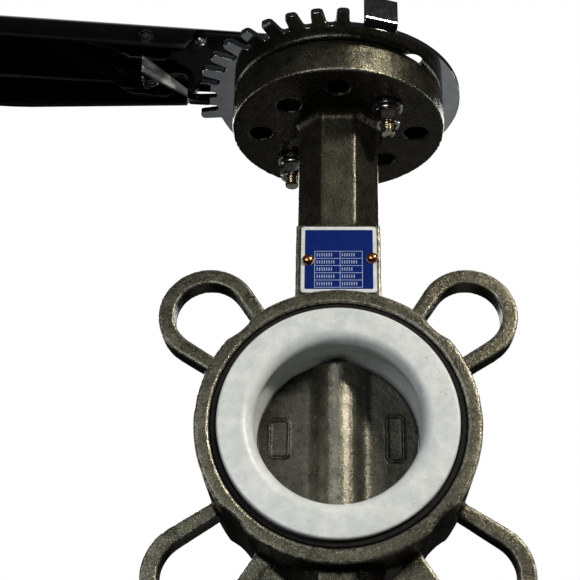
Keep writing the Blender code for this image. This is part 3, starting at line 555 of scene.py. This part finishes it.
def turned_metal(name, light, dark, roughness):
    """Machined metal: fine rings round the stem's axis and slight staining."""
    f = Finish(name, metallic=1.0)
    rings = f.noise(0.3 * MM, 3, 0.6, f.stretched((0.03, 0.03, 1.0)))
    colour = f.mix(f.span(f.noise(2.5 * MM, 4, 0.6), 0.3, 0.7), dark, light)
    f.relief(rings, 0.02 * MM, 0.6)
    return f.done(colour, f.span(rings, 0.3, 0.7, roughness - 0.07, roughness + 0.1))


def printed(name, colour, varied, roughness):
    """Ink on metal foil, a little uneven."""
    f = Finish(name)
    f.shader.inputs["Specular IOR Level"].default_value = 0.08
    tone = f.mix(f.span(f.noise(4 * MM, 4, 0.65), 0.3, 0.7), colour, varied)
    f.relief(f.noise(0.3 * MM, 2, 0.6), 0.01 * MM, 0.4)
    return f.done(tone, roughness)


STAINLESS = cast_stainless(
    "cast_stainless", (0.094, 0.091, 0.061), (0.048, 0.047, 0.032), 0.9)
DISC_STEEL = cast_stainless(
    "cast_stainless_disc", (0.20, 0.193, 0.150), (0.10, 0.097, 0.074), 0.5, HUB_R)
ZINC = plated_zinc("zinc_steel", (0.66, 0.70, 0.71), 0.06)
NUT_ZINC = plated_zinc("zinc_fasteners", (0.72, 0.71, 0.68), 0.18)
BRIGHT_THREAD = plated_zinc("zinc_yellowed", (0.74, 0.66, 0.50), 0.20)
LACQUER = black_lacquer()
# Painted highlight: the gusset of the black lacquered trigger gets pale half-metal colour
# so that it shows as a bright ribbon.
GUSSET_HIGHLIGHT_METAL = plated_zinc("gusset_highlight_metal", (0.88, 0.89, 0.88), 0.24, 0.5)
# Painted highlight: the black lacquered stud gets pale metal so that it shows a large
# bright highlight.
STUD_HIGHLIGHT_METAL = plated_zinc("stud_highlight_metal", (0.85, 0.85, 0.84), 0.36)
PTFE = ptfe()
RUBBER = rubber()
STEEL = turned_metal("turned_stainless", (0.62, 0.61, 0.58), (0.48, 0.47, 0.44), 0.26)
BRONZE = turned_metal("bronze", (0.58, 0.42, 0.20), (0.40, 0.28, 0.13), 0.32)
COPPER = turned_metal("copper", (0.66, 0.29, 0.12), (0.22, 0.08, 0.035), 0.24)
FOIL = printed("plate_foil", (0.84, 0.87, 0.90), (0.62, 0.66, 0.70), 0.35)
BLUE_INK = printed("plate_blue", (0.0005, 0.012, 0.135), (0.001, 0.018, 0.17), 0.5)
WHITE_INK = printed("plate_white", (0.42, 0.52, 0.74), (0.30, 0.40, 0.64), 0.4)


# Pieces

def piece(name, mesh, material, body, slot, *nodes, sharp=35.0):
    """A visible piece that rides on a body and stands for the CAD nodes named."""
    mesh.name = name
    mesh.materials.clear()
    mesh.materials.append(material)
    mesh.shade_smooth()
    mesh.set_sharp_from_angle(angle=math.radians(sharp))
    obj = bpy.data.objects.new(name, mesh)
    bpy.context.scene.collection.objects.link(obj)
    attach(obj, body)
    if nodes:
        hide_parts(*nodes)
    return obj


def cad_copy(node):
    """A welded copy of a CAD node's mesh."""
    bm = bmesh.new()
    bm.from_mesh(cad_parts[node].data)
    return finished(node + "_copy", bm)


def casting(node, name, voxel, smoothing, wave, material, body):
    """The CAD shape with the soft corners and uneven skin of a casting."""
    obj = piece(name, cad_copy(node), material, body, "cast_stainless", node, sharp=180.0)
    remesh = obj.modifiers.new("skin", "REMESH")
    remesh.mode = "VOXEL"
    remesh.voxel_size = voxel
    remesh.use_smooth_shade = True
    soften = obj.modifiers.new("soften", "SMOOTH")
    soften.factor = 0.5
    soften.iterations = smoothing
    texture = bpy.data.textures.new(name + "_waves", "CLOUDS")
    texture.noise_scale = 4.5 * MM
    texture.noise_depth = 3
    uneven = obj.modifiers.new("uneven", "DISPLACE")
    uneven.texture = texture
    uneven.texture_coords = "LOCAL"
    uneven.strength = wave
    uneven.mid_level = 0.5
    return obj


def make_castings():
    """The body and the disc, each cast in one piece."""
    casting("body", "valve_casting", 0.62 * MM, 3, 0.16 * MM, STAINLESS, "valve_body")
    casting("disc", "disc_casting", 0.33 * MM, 4, 0.10 * MM, DISC_STEEL,
            "handle_and_disc")


def make_seat():
    """The seat with its full round lip, and the thin black edge of rubber behind it."""
    lip = (SEAT_BORE_R + SEAT_LIP_R, SEAT_LIP_R - SEAT_FACE)
    edge = (SEAT_OUTER_R - SEAT_EDGE_R, SEAT_EDGE_R - SEAT_FACE)
    half = [(SEAT_BORE_R + out, -away) for out, away in SEAT_BORE_PROFILE]
    half += arc(lip, SEAT_LIP_R, math.pi * 1.03, 1.5 * math.pi, 14)
    half += arc(edge, SEAT_EDGE_R, 1.5 * math.pi, 2 * math.pi, 6)
    half += [(SEAT_OUTER_R, -SEAT_BACK), (SEAT_TUBE_R, -SEAT_BACK)]
    seat = turned("seat", both_halves(half), 160, ALONG_PIPE)
    step = POCKET_STEP + GAP
    inner, outer = SEAT_TUBE_R + GAP, SEAT_OUTER_R + GAP
    under = SEAT_BACK - GAP
    half = [(inner, -under), (outer, -under), (outer, -BACKING_FACE + GAP),
            (outer + GAP, -BACKING_FACE), (BACKING_OUTER_R - GAP, -BACKING_FACE),
            (BACKING_OUTER_R, -BACKING_FACE + GAP), (BACKING_OUTER_R, -step),
            (BACKING_BORE_R, -step)]
    backing = turned("backing", both_halves(half), 128, ALONG_PIPE)
    spans = ((STEM_HOLE_FROM, STEM_HOLE_TO), (-STEM_HOLE_TO, -STEM_HOLE_FROM))
    holes = [turned("stem_hole", cylinder(STEM_HOLE_R, low, high), 64)
             for low, high in spans]
    piece("seat_ring", combined(seat, holes, "DIFFERENCE"), PTFE, "valve_body", "ptfe",
          "ptfe_seat")
    piece("seat_backing", combined(backing, holes, "DIFFERENCE"), RUBBER, "valve_body",
          "black_rubber", "rubber_backing")


def plate_outline():
    """The notch plate's edge, with round tooth tips and round gap bottoms."""
    corners, radii = [], []
    for i in range(NOTCH_COUNT):
        middle = NOTCH_FIRST + i * NOTCH_PITCH
        corners += [polar(NOTCH_ROOT_R, middle - TOOTH_ROOT_HALF),
                    polar(NOTCH_TIP_R, middle - TOOTH_TIP_HALF),
                    polar(NOTCH_TIP_R, middle + TOOTH_TIP_HALF),
                    polar(NOTCH_ROOT_R, middle + TOOTH_ROOT_HALF)]
        radii += [GAP_CORNER_R, TIP_CORNER_R, TIP_CORNER_R, GAP_CORNER_R]
    last = NOTCH_FIRST + (NOTCH_COUNT - 1) * NOTCH_PITCH + TOOTH_ROOT_HALF
    first = NOTCH_FIRST - TOOTH_ROOT_HALF + 2 * math.pi
    plain = arc((0, 0), NOTCH_ROOT_R, last, first, 180)[1:-1]
    return rounded(corners + plain, radii + [0] * len(plain))


def make_notch_plate():
    """The toothed plate with its holes and its turned-up stop."""
    holes = [circle((0, 0), CENTRE_HOLE_R, 96)]
    for i in range(4):
        diagonal = math.radians(45 + 90 * i)
        holes.append(circle(polar(BOLT_CIRCLE_R, diagonal), BOLT_HOLE_R))
    for azimuth in BOLT_AZIMUTHS.values():
        holes.append(circle(polar(SPARE_HOLES_R, azimuth), SPARE_HOLE_R))
    plate = flat("plate", [plate_outline(), *holes], NOTCH_BOTTOM, NOTCH_TOP, PLATE_EDGE)
    inner, outer = NOTCH_ROOT_R, NOTCH_ROOT_R + STOP_THICK
    foot = inner - STOP_FOOT
    shy = 0.02 * MM
    low, high = NOTCH_BOTTOM + shy, NOTCH_TOP - shy
    wide, tight, tip = STOP_OUTER_BEND, STOP_INNER_BEND, STOP_TIP_R
    profile = [(foot, low)]
    profile += arc((outer - wide, low + wide), wide, -math.pi / 2, 0, 12)
    profile += arc((outer - tip, STOP_TOP - tip), tip, 0, math.pi / 2, 4)
    profile += arc((inner + tip, STOP_TOP - tip), tip, math.pi / 2, math.pi, 4)
    profile += arc((inner - tight, high + tight), tight, 0, -math.pi / 2, 6)
    profile += [(foot, high)]
    place = Matrix.Rotation(STOP_AZIMUTH, 4, "Z") @ UPRIGHT
    tab = flat("tab", [profile], -STOP_WIDTH / 2, STOP_WIDTH / 2, STOP_EDGE, place)
    piece("notched_plate", combined(plate, [tab], "UNION"), ZINC, "valve_body",
          "zinc_steel", "notch_plate", sharp=9)


def hexagon(name, across, low, high, matrix, hole=None, both=True):
    """A hexagon with its corners turned off at its top, or at both ends, as on a nut.

    A radius given as hole makes a bore through it, opened out at both ends.
    """
    corner = across / 2 / math.cos(math.pi / 6)
    first = math.pi / 6
    prism = flat(name, [arc((0, 0), corner, first, first + 2 * math.pi, 6)[:-1]],
                 low - 1 * MM, high + 1 * MM)
    flat_r, drop = 0.48 * across, min(0.13 * across, 0.25 * (high - low))
    past = corner * 1.02
    lower = [(flat_r, low), (past, low + drop)] if both else [(past, low)]
    barrel = [(0, low), *lower, (past, high - drop), (flat_r, high), (0, high)]
    shape = combined(prism, [turned(name, barrel, 96)], "INTERSECT")
    if hole:
        lead, mouth = HEX_LEAD, hole + 2 * HEX_LEAD
        bore = [(0, low - lead), (mouth, low - lead), (hole, low + lead),
                (hole, high - lead), (mouth, high + lead), (0, high + lead)]
        shape = combined(shape, [turned(name, bore, 48)], "DIFFERENCE")
    shape.transform(matrix)
    return shape


def washer_profile(radius, hole, low, high, lip):
    """A flat washer's section, with its outer corners taken off."""
    return [(hole, low), (radius - lip, low), (radius, low + lip), (radius, high - lip),
            (radius - lip, high), (hole, high)]


def threaded(name, low, high, smooth_to, matrix):
    """A bolt's shank: a real thread from its chamfered end up to its smooth part."""
    around, rows = THREAD_AROUND, int((smooth_to - low) / THREAD_PITCH * THREAD_STEPS)
    rings = []
    for j in range(rows + 1):
        z = low + (smooth_to - low) * j / rows
        ring = []
        for i in range(around):
            turn = i / around
            phase = (z / THREAD_PITCH - turn) % 1
            depth = THREAD_DEPTH * min(1, max(0, 1.6 * abs(2 * phase - 1) - 0.3))
            limit = BOLT_R - THREAD_CHAMFER + (z - low)
            r = min(BOLT_R - depth, limit)
            ring.append((*polar(r, 2 * math.pi * turn), z))
        rings.append(ring)
    plain = BOLT_R - 0.1 * MM
    rings.append([(*polar(plain, 2 * math.pi * i / around), high) for i in range(around)])
    return lofted(name, rings, matrix)


def spring_washer(name, top, matrix):
    """A split ring of square wire, its two ends slightly apart in height."""
    steps, split = 80, 0.16
    middle = top - SPRING_WASHER_THICK / 2
    half = SPRING_WASHER_THICK / 2 - 0.15 * MM
    square = rectangle(BOLT_HOLE_R, -half, SPRING_WASHER_R, half)
    section = rounded(square, [0.2 * MM] * 4, 2)
    rings = []
    for i in range(steps + 1):
        turn = i / steps
        azimuth = split + (2 * math.pi - 2 * split) * turn
        lift = SPRING_WASHER_RISE * (2 * turn - 1)
        rings.append([(*polar(r, azimuth), middle + lift + h) for r, h in section])
    return lofted(name, rings, matrix)


def make_bolt_sets():
    """Two bolts through notch plate and flange, with washers, spring washers and nuts."""
    for side, azimuth in BOLT_AZIMUTHS.items():
        spin = Matrix.Rotation(azimuth + HEX_TURN, 4, "Z")
        place = Matrix.Translation((*polar(BOLT_CIRCLE_R, azimuth), 0)) @ spin
        seat = NOTCH_TOP + GAP
        head = hexagon("head", HEX_ACROSS, seat, seat + BOLT_HEAD, place, both=False)
        piece(f"bolt_head_{side}", head, NUT_ZINC, "valve_body", "zinc_steel")
        smooth_to = FLANGE_BOTTOM + 3 * MM
        shank = threaded("shank", BOLT_END, seat + 0.1 * MM, smooth_to, place)
        piece(f"bolt_thread_{side}", shank, BRIGHT_THREAD, "valve_body", "zinc_steel",
              f"bolt_{side}")
        top = FLANGE_BOTTOM - GAP
        low, lip = top - WASHER_THICK, 0.25 * MM
        ring = washer_profile(WASHER_R, BOLT_HOLE_R, low, top, lip)
        piece(f"washer_{side}", turned("washer", ring, 96, place), NUT_ZINC, "valve_body",
              "zinc_steel", f"flat_washer_{side}")
        top = low - GAP
        piece(f"lock_washer_{side}", spring_washer("split", top, place), NUT_ZINC,
              "valve_body", "zinc_steel", f"spring_washer_{side}")
        top -= SPRING_WASHER_THICK + GAP
        nut = hexagon("nut", HEX_ACROSS, top - NUT_HEIGHT, top, place, hole=BOLT_R)
        piece(f"hex_nut_{side}", nut, NUT_ZINC, "valve_body", "zinc_steel", f"nut_{side}")


def print_marks(face):
    """The table's level lines, its uprights, and two columns of plain dashes."""
    def mark(name, left, bottom, right, top, proud):
        box = rectangle(left, bottom, right, top)
        return flat(name, [box], face - 1.4 * INK, proud, 0, UPRIGHT)

    half = PRINT_LINE / 2
    row = (TABLE_TOP - TABLE_BOTTOM) / TABLE_ROWS
    marks = []
    for i in range(TABLE_ROWS + 1):
        level = TABLE_BOTTOM + i * row
        marks.append(mark("line", TABLE_LEFT - half, level - half, TABLE_RIGHT + half,
                          level + half, face - 0.2 * INK))
    for u in (TABLE_LEFT, TABLE_DIVIDER, TABLE_RIGHT):
        marks.append(mark("upright", u - half, TABLE_BOTTOM, u + half, TABLE_TOP, face))
    for i in range(TABLE_ROWS):
        level = TABLE_BOTTOM + (i + 0.5) * row
        low, high = level - DASH_HALF_HEIGHT, level + DASH_HALF_HEIGHT
        columns = ((TABLE_LEFT + 0.7 * MM, 7 + i % 2),
                   (TABLE_DIVIDER + 0.6 * MM, 7 - i % 3))
        for start, count in columns:
            for k in range(count):
                left = start + k * DASH_PITCH
                marks.append(mark("dash", left, low, left + DASH_WIDTH, high, face))
    return marks


def make_nameplate():
    """Foil plate with a blue printed field and an empty ruled table with plain dashes."""
    (x, z), (width, height) = PLATE_CENTRE, PLATE_SIZE
    box = rectangle(x - width / 2, z - height / 2, x + width / 2, z + height / 2)
    holes = [circle(place, RIVET_SHANK_R + GAP, 32) for place in RIVETS.values()]
    face = PAD_FACE + PLATE_THICK
    plate = flat("plate", [rounded(box, [1.1 * MM] * 4), *holes], PAD_FACE,
                 face - 2 * INK, 0.1 * MM, UPRIGHT)
    piece("nameplate_foil", plate, FOIL, "valve_body", "plate_blue", "nameplate")
    inside = rectangle(x - width / 2 + BORDER, z - height / 2 + BORDER,
                       x + width / 2 - BORDER, z + height / 2 - BORDER)
    inside = rounded(inside, [0.5 * MM] * 4, 3)
    field = flat("field", [inside], face - 2.4 * INK, face - INK, 0, UPRIGHT)
    rims = [circle(place, RIVET_HEAD_R + 0.1 * MM, 32) for place in RIVETS.values()]
    clear = [flat("clear", [rim], PAD_FACE, face + INK, 0, UPRIGHT) for rim in rims]
    piece("nameplate_field", combined(field, clear, "DIFFERENCE"), BLUE_INK,
          "valve_body", "plate_blue")
    piece("nameplate_print", merged("print", print_marks(face)), WHITE_INK,
          "valve_body", "plate_blue")
    for name, (u, v) in RIVETS.items():
        seat = face + GAP
        brim, rise = seat + RIVET_BRIM, RIVET_DOME - RIVET_BRIM
        cap = [((RIVET_HEAD_R - 0.1 * MM) * math.cos(a), brim + rise * math.sin(a))
               for a in [math.radians(9 * i) for i in range(10)]]
        profile = [(0, RIVET_END), (RIVET_SHANK_R, RIVET_END), (RIVET_SHANK_R, seat),
                   (RIVET_HEAD_R, seat), (RIVET_HEAD_R, brim), *cap,
                   (0, seat + RIVET_DOME)]
        place = Matrix.Translation((u, 0, v)) @ UPRIGHT
        piece(name + "_head", turned(name, profile, 48, place), COPPER, "valve_body",
              "copper", name)


def handle_edge():
    """The handle from above, in fine steps: round ends, and widest past its middle."""
    fine, coarse = 2 * MM, 3 * MM
    tail_x = HANDLE_LENGTH - TAIL_HALF
    widening = (GRIP_HALF - HEAD_HALF) / WIDEST_AT
    narrowing = (GRIP_HALF - TAIL_HALF) / (tail_x - WIDEST_AT)
    head = arc((0, 0), HEAD_HALF, math.pi, math.pi / 2, 24)
    before = [(k * fine, HEAD_HALF + widening * k * fine) for k in range(1, 60)]
    crest = [(WIDEST_AT + k * coarse, GRIP_HALF - CREST_DROP - CREST_CURVE * k * k)
             for k in range(-2, 3)]
    after = [(WIDEST_AT + k * coarse, GRIP_HALF - narrowing * k * coarse)
             for k in range(3, 27)]
    tail = arc((tail_x, 0), TAIL_HALF, math.pi / 2, 0, 28)
    return mirrored(head + before + crest + after + tail)


def eased(value, start, end):
    """How far a value has gone from start to end, as a smooth step from 0 to 1."""
    t = min(1.0, max(0.0, (value - start) / (end - start)))
    return t * t * (3 - 2 * t)


def wall_bottom(x, y):
    """How low the handle's edge is turned down, less on its front side than behind."""
    along = min(1.0, max(0.0, (x - WALL_FROM) / (WALL_FULL_AT - WALL_FROM)))
    full = WALL_NEAR_Z + (WALL_FAR_Z - WALL_NEAR_Z) * along
    if y > 0:
        full = FRONT_WALL_Z + (full - FRONT_WALL_Z) * eased(x, *FRONT_WALL_TO)
    return RIM_BOTTOM + (full - RIM_BOTTOM) * eased(x, WALL_FROM, WALL_FROM + WALL_STEP)


def inset(points, distance):
    """Each point of a closed outline moved inwards."""
    moved = []
    for i, point in enumerate(points):
        along = Vector(points[(i + 1) % len(points)]) - Vector(points[i - 1])
        normal = Vector((along.y, -along.x)).normalized()
        moved.append((point[0] + normal.x * distance, point[1] + normal.y * distance))
    return moved


def handle_shell():
    """One sheet with rounded bends between its top and its turned-down edges."""
    outline = handle_edge()
    lip = 0.5 * MM
    under = HANDLE_TOP - SHEET
    small = HANDLE_BEND - SHEET
    quarter = [math.radians(15 * i) for i in range(7)]

    def level(depth, height):
        return [(*p, height) for p in inset(outline, depth)]

    def along_wall(depth, above):
        return [(*p, wall_bottom(*o) + above)
                for p, o in zip(inset(outline, depth), outline)]

    rings = [level(SHEET + small * (1 - math.cos(a)), under - small * (1 - math.sin(a)))
             for a in reversed(quarter)]
    edge = ((SHEET, 3 * lip), (SHEET, lip), (SHEET - lip, 0), (lip, 0), (0, lip),
            (0, 3 * lip))
    rings += [along_wall(depth, above) for depth, above in edge]
    rings += [level(HANDLE_BEND * (1 - math.cos(a)),
                    HANDLE_TOP - HANDLE_BEND * (1 - math.sin(a))) for a in quarter]
    return lofted("handle", rings)


def make_handle():
    """The pressed channel, its stud, hub block, pivot pin, top washer and top screw."""
    side = SOCKET_SQUARE / 2
    square = rectangle(-side, -side, side, side)
    socket = flat("socket", [square], 145 * MM, 158 * MM)
    pivot = Matrix.Translation((PIVOT_X, 0, PIVOT_Z)) @ UPRIGHT
    hole = cylinder(PIVOT_HOLE_R, -PIVOT_HOLE_HALF, PIVOT_HOLE_HALF)
    pin_hole = turned("pin_hole", hole, 32, pivot)
    shell = combined(handle_shell(), [socket, pin_hole], "DIFFERENCE")
    shell.transform(HANDLE_FRAME)
    piece("handle_channel", shell, LACQUER, "handle_and_disc", "black_lacquer", "handle")
    place = HANDLE_FRAME @ Matrix.Translation((STUD_X, STUD_Y, HANDLE_TOP - SHEET))
    piece("web_stud", turned("stud", STUD_PROFILE, 48, place), STUD_HIGHLIGHT_METAL,
          "handle_and_disc", "black_lacquer", sharp=60)

    block = flat("block", [circle((0, 0), HUB_BLOCK_R, 96), square], *HUB_BLOCK, 0.8 * MM,
                 HANDLE_FRAME)
    piece("handle_block", block, LACQUER, "handle_and_disc", "black_lacquer",
          "handle_hub")
    side = PIN_HALF - PIN_DOME
    pin = [(0, -PIN_HALF), (PIN_END_R, -PIN_HALF), (PIN_R, -side), (PIN_R, side),
           (PIN_END_R, PIN_HALF), (0, PIN_HALF)]
    piece("pivot_pin", turned("pin", pin, 48, HANDLE_FRAME @ pivot), LACQUER,
          "handle_and_disc", "zinc_steel", "latch_pin")

    low = HANDLE_TOP + GAP
    high = low + TOP_WASHER_THICK
    ring = washer_profile(TOP_WASHER_R, TOP_WASHER_HOLE_R, low, high, 0.3 * MM)
    piece("top_washer", turned("top_washer", ring, 96), NUT_ZINC, "handle_and_disc",
          "zinc_steel", "handle_washer")
    seat = high + GAP
    head = hexagon("top_screw", SCREW_ACROSS, seat, seat + BOLT_HEAD, HANDLE_FRAME,
                   both=False)
    shank = turned("shank", cylinder(SCREW_R, SCREW_END, seat + 0.5 * MM), 48)
    piece("top_screw", combined(head, [shank], "UNION"), NUT_ZINC, "handle_and_disc",
          "zinc_steel", "handle_screw")


def make_gusset():
    """The twisted strip that stiffens the trigger beside its latch arm."""
    steps = 28
    start, end = Vector(GUSSET_FROM), Vector(GUSSET_TO)
    along = (end - start).normalized()
    rings = []
    for i in range(steps + 1):
        t = i / steps
        ease = eased(t, 0, 1)
        centre = start.lerp(end, t)
        centre.z += GUSSET_BOW * math.sin(math.pi * t)
        twist = GUSSET_TWIST[0] + (GUSSET_TWIST[1] - GUSSET_TWIST[0]) * ease
        half = GUSSET_WIDE[0] + (GUSSET_WIDE[1] - GUSSET_WIDE[0]) * ease
        across = Vector((0, math.cos(twist), math.sin(twist))) * half
        scale = half / GUSSET_WIDE[0]
        line = [centre + across * u - Vector((0, 0, fall * scale))
                for u, fall in GUSSET_PROFILE]
        last = len(line) - 1
        runs = [line[min(k + 1, last)] - line[max(k - 1, 0)] for k in range(len(line))]
        outs = [along.cross(run).normalized() * GUSSET_THICK / 2 for run in runs]
        rings.append([p + out for p, out in zip(line, outs)] +
                     [p - out for p, out in reversed(list(zip(line, outs)))])
    strip = lofted("gusset", rings, HANDLE_FRAME)
    piece("trigger_gusset", strip, GUSSET_HIGHLIGHT_METAL, "trigger", "black_lacquer", sharp=50)


def make_trigger():
    """The latch trigger with softened edges, and its gusset."""
    obj = piece("trigger_plate", cad_copy("latch_trigger"), LACQUER, "trigger",
                "black_lacquer", "latch_trigger")
    bevel = obj.modifiers.new("soft_edges", "BEVEL")
    bevel.width = 0.35 * MM
    bevel.segments = 3
    bevel.limit_method = "ANGLE"
    bevel.angle_limit = math.radians(40)
    make_gusset()


def make_spring():
    """The torsion spring round the trigger's pin, with a straight leg at each end."""
    per_turn = 24
    steps = int(SPRING_TURNS * per_turn)
    points = [(PIVOT_X + SPRING_LEG, SPRING_FROM, PIVOT_Z - SPRING_R)]
    for i in range(steps + 1):
        angle = -math.pi / 2 + 2 * math.pi * i / per_turn
        points.append((PIVOT_X + SPRING_R * math.cos(angle),
                       SPRING_FROM + (SPRING_TO - SPRING_FROM) * i / steps,
                       PIVOT_Z + SPRING_R * math.sin(angle)))
    points.append((PIVOT_X - SPRING_LEG, SPRING_TO, PIVOT_Z + SPRING_R))
    piece("torsion_spring", wire("spring", points, SPRING_WIRE_R, HANDLE_FRAME), STEEL,
          "handle_and_disc", "turned_stainless", "latch_spring")


def make_plug():
    """The hexagon plug under the bottom boss."""
    low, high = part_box("bottom_plug")
    head_top = low.z + PLUG_HEAD
    head = hexagon("plug", PLUG_ACROSS, low.z, head_top, IDENTITY)
    shank = turned("plug_thread", cylinder(PLUG_THREAD_R, head_top - 1 * MM, high.z), 64)
    piece("boss_plug", combined(head, [shank], "UNION"), STEEL, "valve_body",
          "turned_stainless", "bottom_plug")


def finish_hidden_nodes():
    """The pieces inside keep their CAD shapes and take finishes of their own."""
    finishes = ((STEEL, ("upper_stem", "lower_stub_stem", "stem_retaining_ring")),
                (BRONZE, ("lower_neck_bush", "upper_neck_bush", "stub_bush")),
                (PTFE, ("seal_spacer",)),
                (RUBBER, ("lower_o_ring", "upper_o_ring")))
    for material, nodes in finishes:
        for node in nodes:
            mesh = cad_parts[node].data
            mesh.materials.clear()
            mesh.materials.append(material)


# Studio

# Soft brightness in the surroundings: its direction, the cosines of the angles from it
# at which it starts and is full, and how bright it is
GLOW_TOWARDS = (0.2, 0.78, -0.593)
GLOW_FROM, GLOW_FULL, GLOW_LEVEL = 0.91, 1.0, 0.22

# Grey level of the surroundings by height, from straight down (0) to straight up (1)
SURROUND_LEVELS = ((0.0, 0.004), (0.45, 0.006), (0.55, 0.012), (0.82, 0.02),
                   (0.94, 0.20), (1.0, 0.45))

# Name, place, what it points at, width and height, watts, colour
LAMPS = (
    ("key", (0.70, -0.95, 0.62), (0, 0, 0.08), (0.16, 0.16), 13, (1.0, 0.92, 0.82)),
    ("panel", (-0.42, -1.20, 0.14), (0, 0, 0.0), (0.60, 0.42), 5.0, (0.95, 0.98, 1.0)),
    ("top", (-0.25, 0.35, 1.3), (0, 0, 0.05), (1.2, 1.2), 4.5, (1, 1, 1)),
    ("back_right", (0.70, 1.20, 0.80), (0, 0, 0.05), (0.6, 0.5), 7, (1, 1, 1)),
    ("back_left", (-0.70, 1.20, 0.80), (0, 0, 0.05), (0.6, 0.5), 7, (1, 1, 1)),
    ("side_right", (2.15, 0.80, -0.05), (0, 0, 0.02), (0.9, 0.9), 9.5, (1, 1, 1)),
    ("side_left", (-2.15, 0.80, -0.05), (0, 0, 0.02), (0.9, 0.9), 9.5, (1, 1, 1)),
)
FLOOR_HALF, FLOOR_Z = 2.0, -0.2

CAMERA_PLACE = (0, -0.3670, -0.1252)
CAMERA_TILT = math.radians(26.06)
SENSOR_WIDTH, LENS = 36, 72.58
SHIFT = (-0.0833, 0.0059)


def add_lamp(name, place, target, size, power, colour):
    lamp = bpy.data.lights.new(name, "AREA")
    lamp.shape = "RECTANGLE"
    lamp.size, lamp.size_y = size
    lamp.energy = power
    lamp.color = colour
    obj = bpy.data.objects.new(name, lamp)
    obj.location = place
    aim = Vector(target) - Vector(place)
    obj.rotation_euler = aim.to_track_quat("-Z", "Y").to_euler()
    bpy.context.scene.collection.objects.link(obj)


def make_surroundings():
    """A white backdrop for the camera, and dim surroundings for everything else."""
    world = bpy.data.worlds.new("studio")
    bpy.context.scene.world = world
    world.use_nodes = True
    nodes, link = world.node_tree.nodes, world.node_tree.links.new
    place = nodes.new("ShaderNodeTexCoord").outputs["Generated"]
    split = nodes.new("ShaderNodeSeparateXYZ")
    half = nodes.new("ShaderNodeMapRange")
    half.inputs["From Min"].default_value = -1
    ramp = nodes.new("ShaderNodeValToRGB")
    elements = ramp.color_ramp.elements
    while len(elements) < len(SURROUND_LEVELS):
        elements.new(0.5)
    for element, (position, level) in zip(elements, SURROUND_LEVELS):
        element.position = position
        element.color = (level, level, level, 1)
    link(place, split.inputs[0])
    link(split.outputs["Z"], half.inputs["Value"])
    link(half.outputs["Result"], ramp.inputs["Fac"])

    facing = nodes.new("ShaderNodeVectorMath")
    facing.operation = "DOT_PRODUCT"
    facing.inputs[1].default_value = GLOW_TOWARDS
    glow = nodes.new("ShaderNodeMapRange")
    for socket, number in zip(glow.inputs[1:5], (GLOW_FROM, GLOW_FULL, 0.0, GLOW_LEVEL)):
        socket.default_value = number
    link(place, facing.inputs[0])
    link(facing.outputs["Value"], glow.inputs["Value"])

    lit = nodes.new("ShaderNodeMix")
    lit.data_type = "RGBA"
    lit.blend_type = "ADD"
    lit.inputs["Factor"].default_value = 1
    link(ramp.outputs["Color"], lit.inputs["A"])
    link(glow.outputs["Result"], lit.inputs["B"])
    backdrop = nodes.new("ShaderNodeMix")
    backdrop.data_type = "RGBA"
    backdrop.inputs["B"].default_value = (1, 1, 1, 1)
    seen = nodes.new("ShaderNodeLightPath").outputs["Is Camera Ray"]
    link(seen, backdrop.inputs["Factor"])
    link(lit.outputs["Result"], backdrop.inputs["A"])
    link(backdrop.outputs["Result"], nodes["Background"].inputs["Color"])


def make_floor():
    """A plain pale floor that lights nothing and isn't seen in reflections."""
    bm = bmesh.new()
    bmesh.ops.create_grid(bm, x_segments=8, y_segments=8, size=FLOOR_HALF)
    mesh = finished("floor", bm, Matrix.Translation((0, 0, FLOOR_Z)))
    floor = bpy.data.objects.new("floor", mesh)
    bpy.context.scene.collection.objects.link(floor)
    f = Finish("floor")
    tone = f.mix(f.noise(0.4, 3, 0.5), (0.80, 0.80, 0.80), (0.84, 0.84, 0.84))
    floor.data.materials.append(f.done(tone, 0.7))
    floor.visible_diffuse = False
    floor.visible_glossy = False


def make_studio():
    """Surroundings, lamps and floor."""
    make_surroundings()
    for lamp in LAMPS:
        add_lamp(*lamp)
    make_floor()


def make_camera():
    """A fixed lens in front of the valve and a little below it, tilted up."""
    lens = bpy.data.cameras.new("camera")
    lens.sensor_width = SENSOR_WIDTH
    lens.lens = LENS
    lens.shift_x, lens.shift_y = SHIFT
    lens.clip_start = 0.01
    camera = bpy.data.objects.new("camera", lens)
    camera.location = CAMERA_PLACE
    camera.rotation_euler = (math.pi / 2 + CAMERA_TILT, 0, 0)
    bpy.context.scene.collection.objects.link(camera)
    bpy.context.scene.camera = camera
    bpy.context.scene.view_settings.view_transform = "Standard"


make_camera()
make_studio()
make_castings()
make_seat()
make_notch_plate()
make_bolt_sets()
make_nameplate()
make_handle()
make_trigger()
make_spring()
make_plug()
finish_hidden_nodes()

bpy.context.view_layer.update()
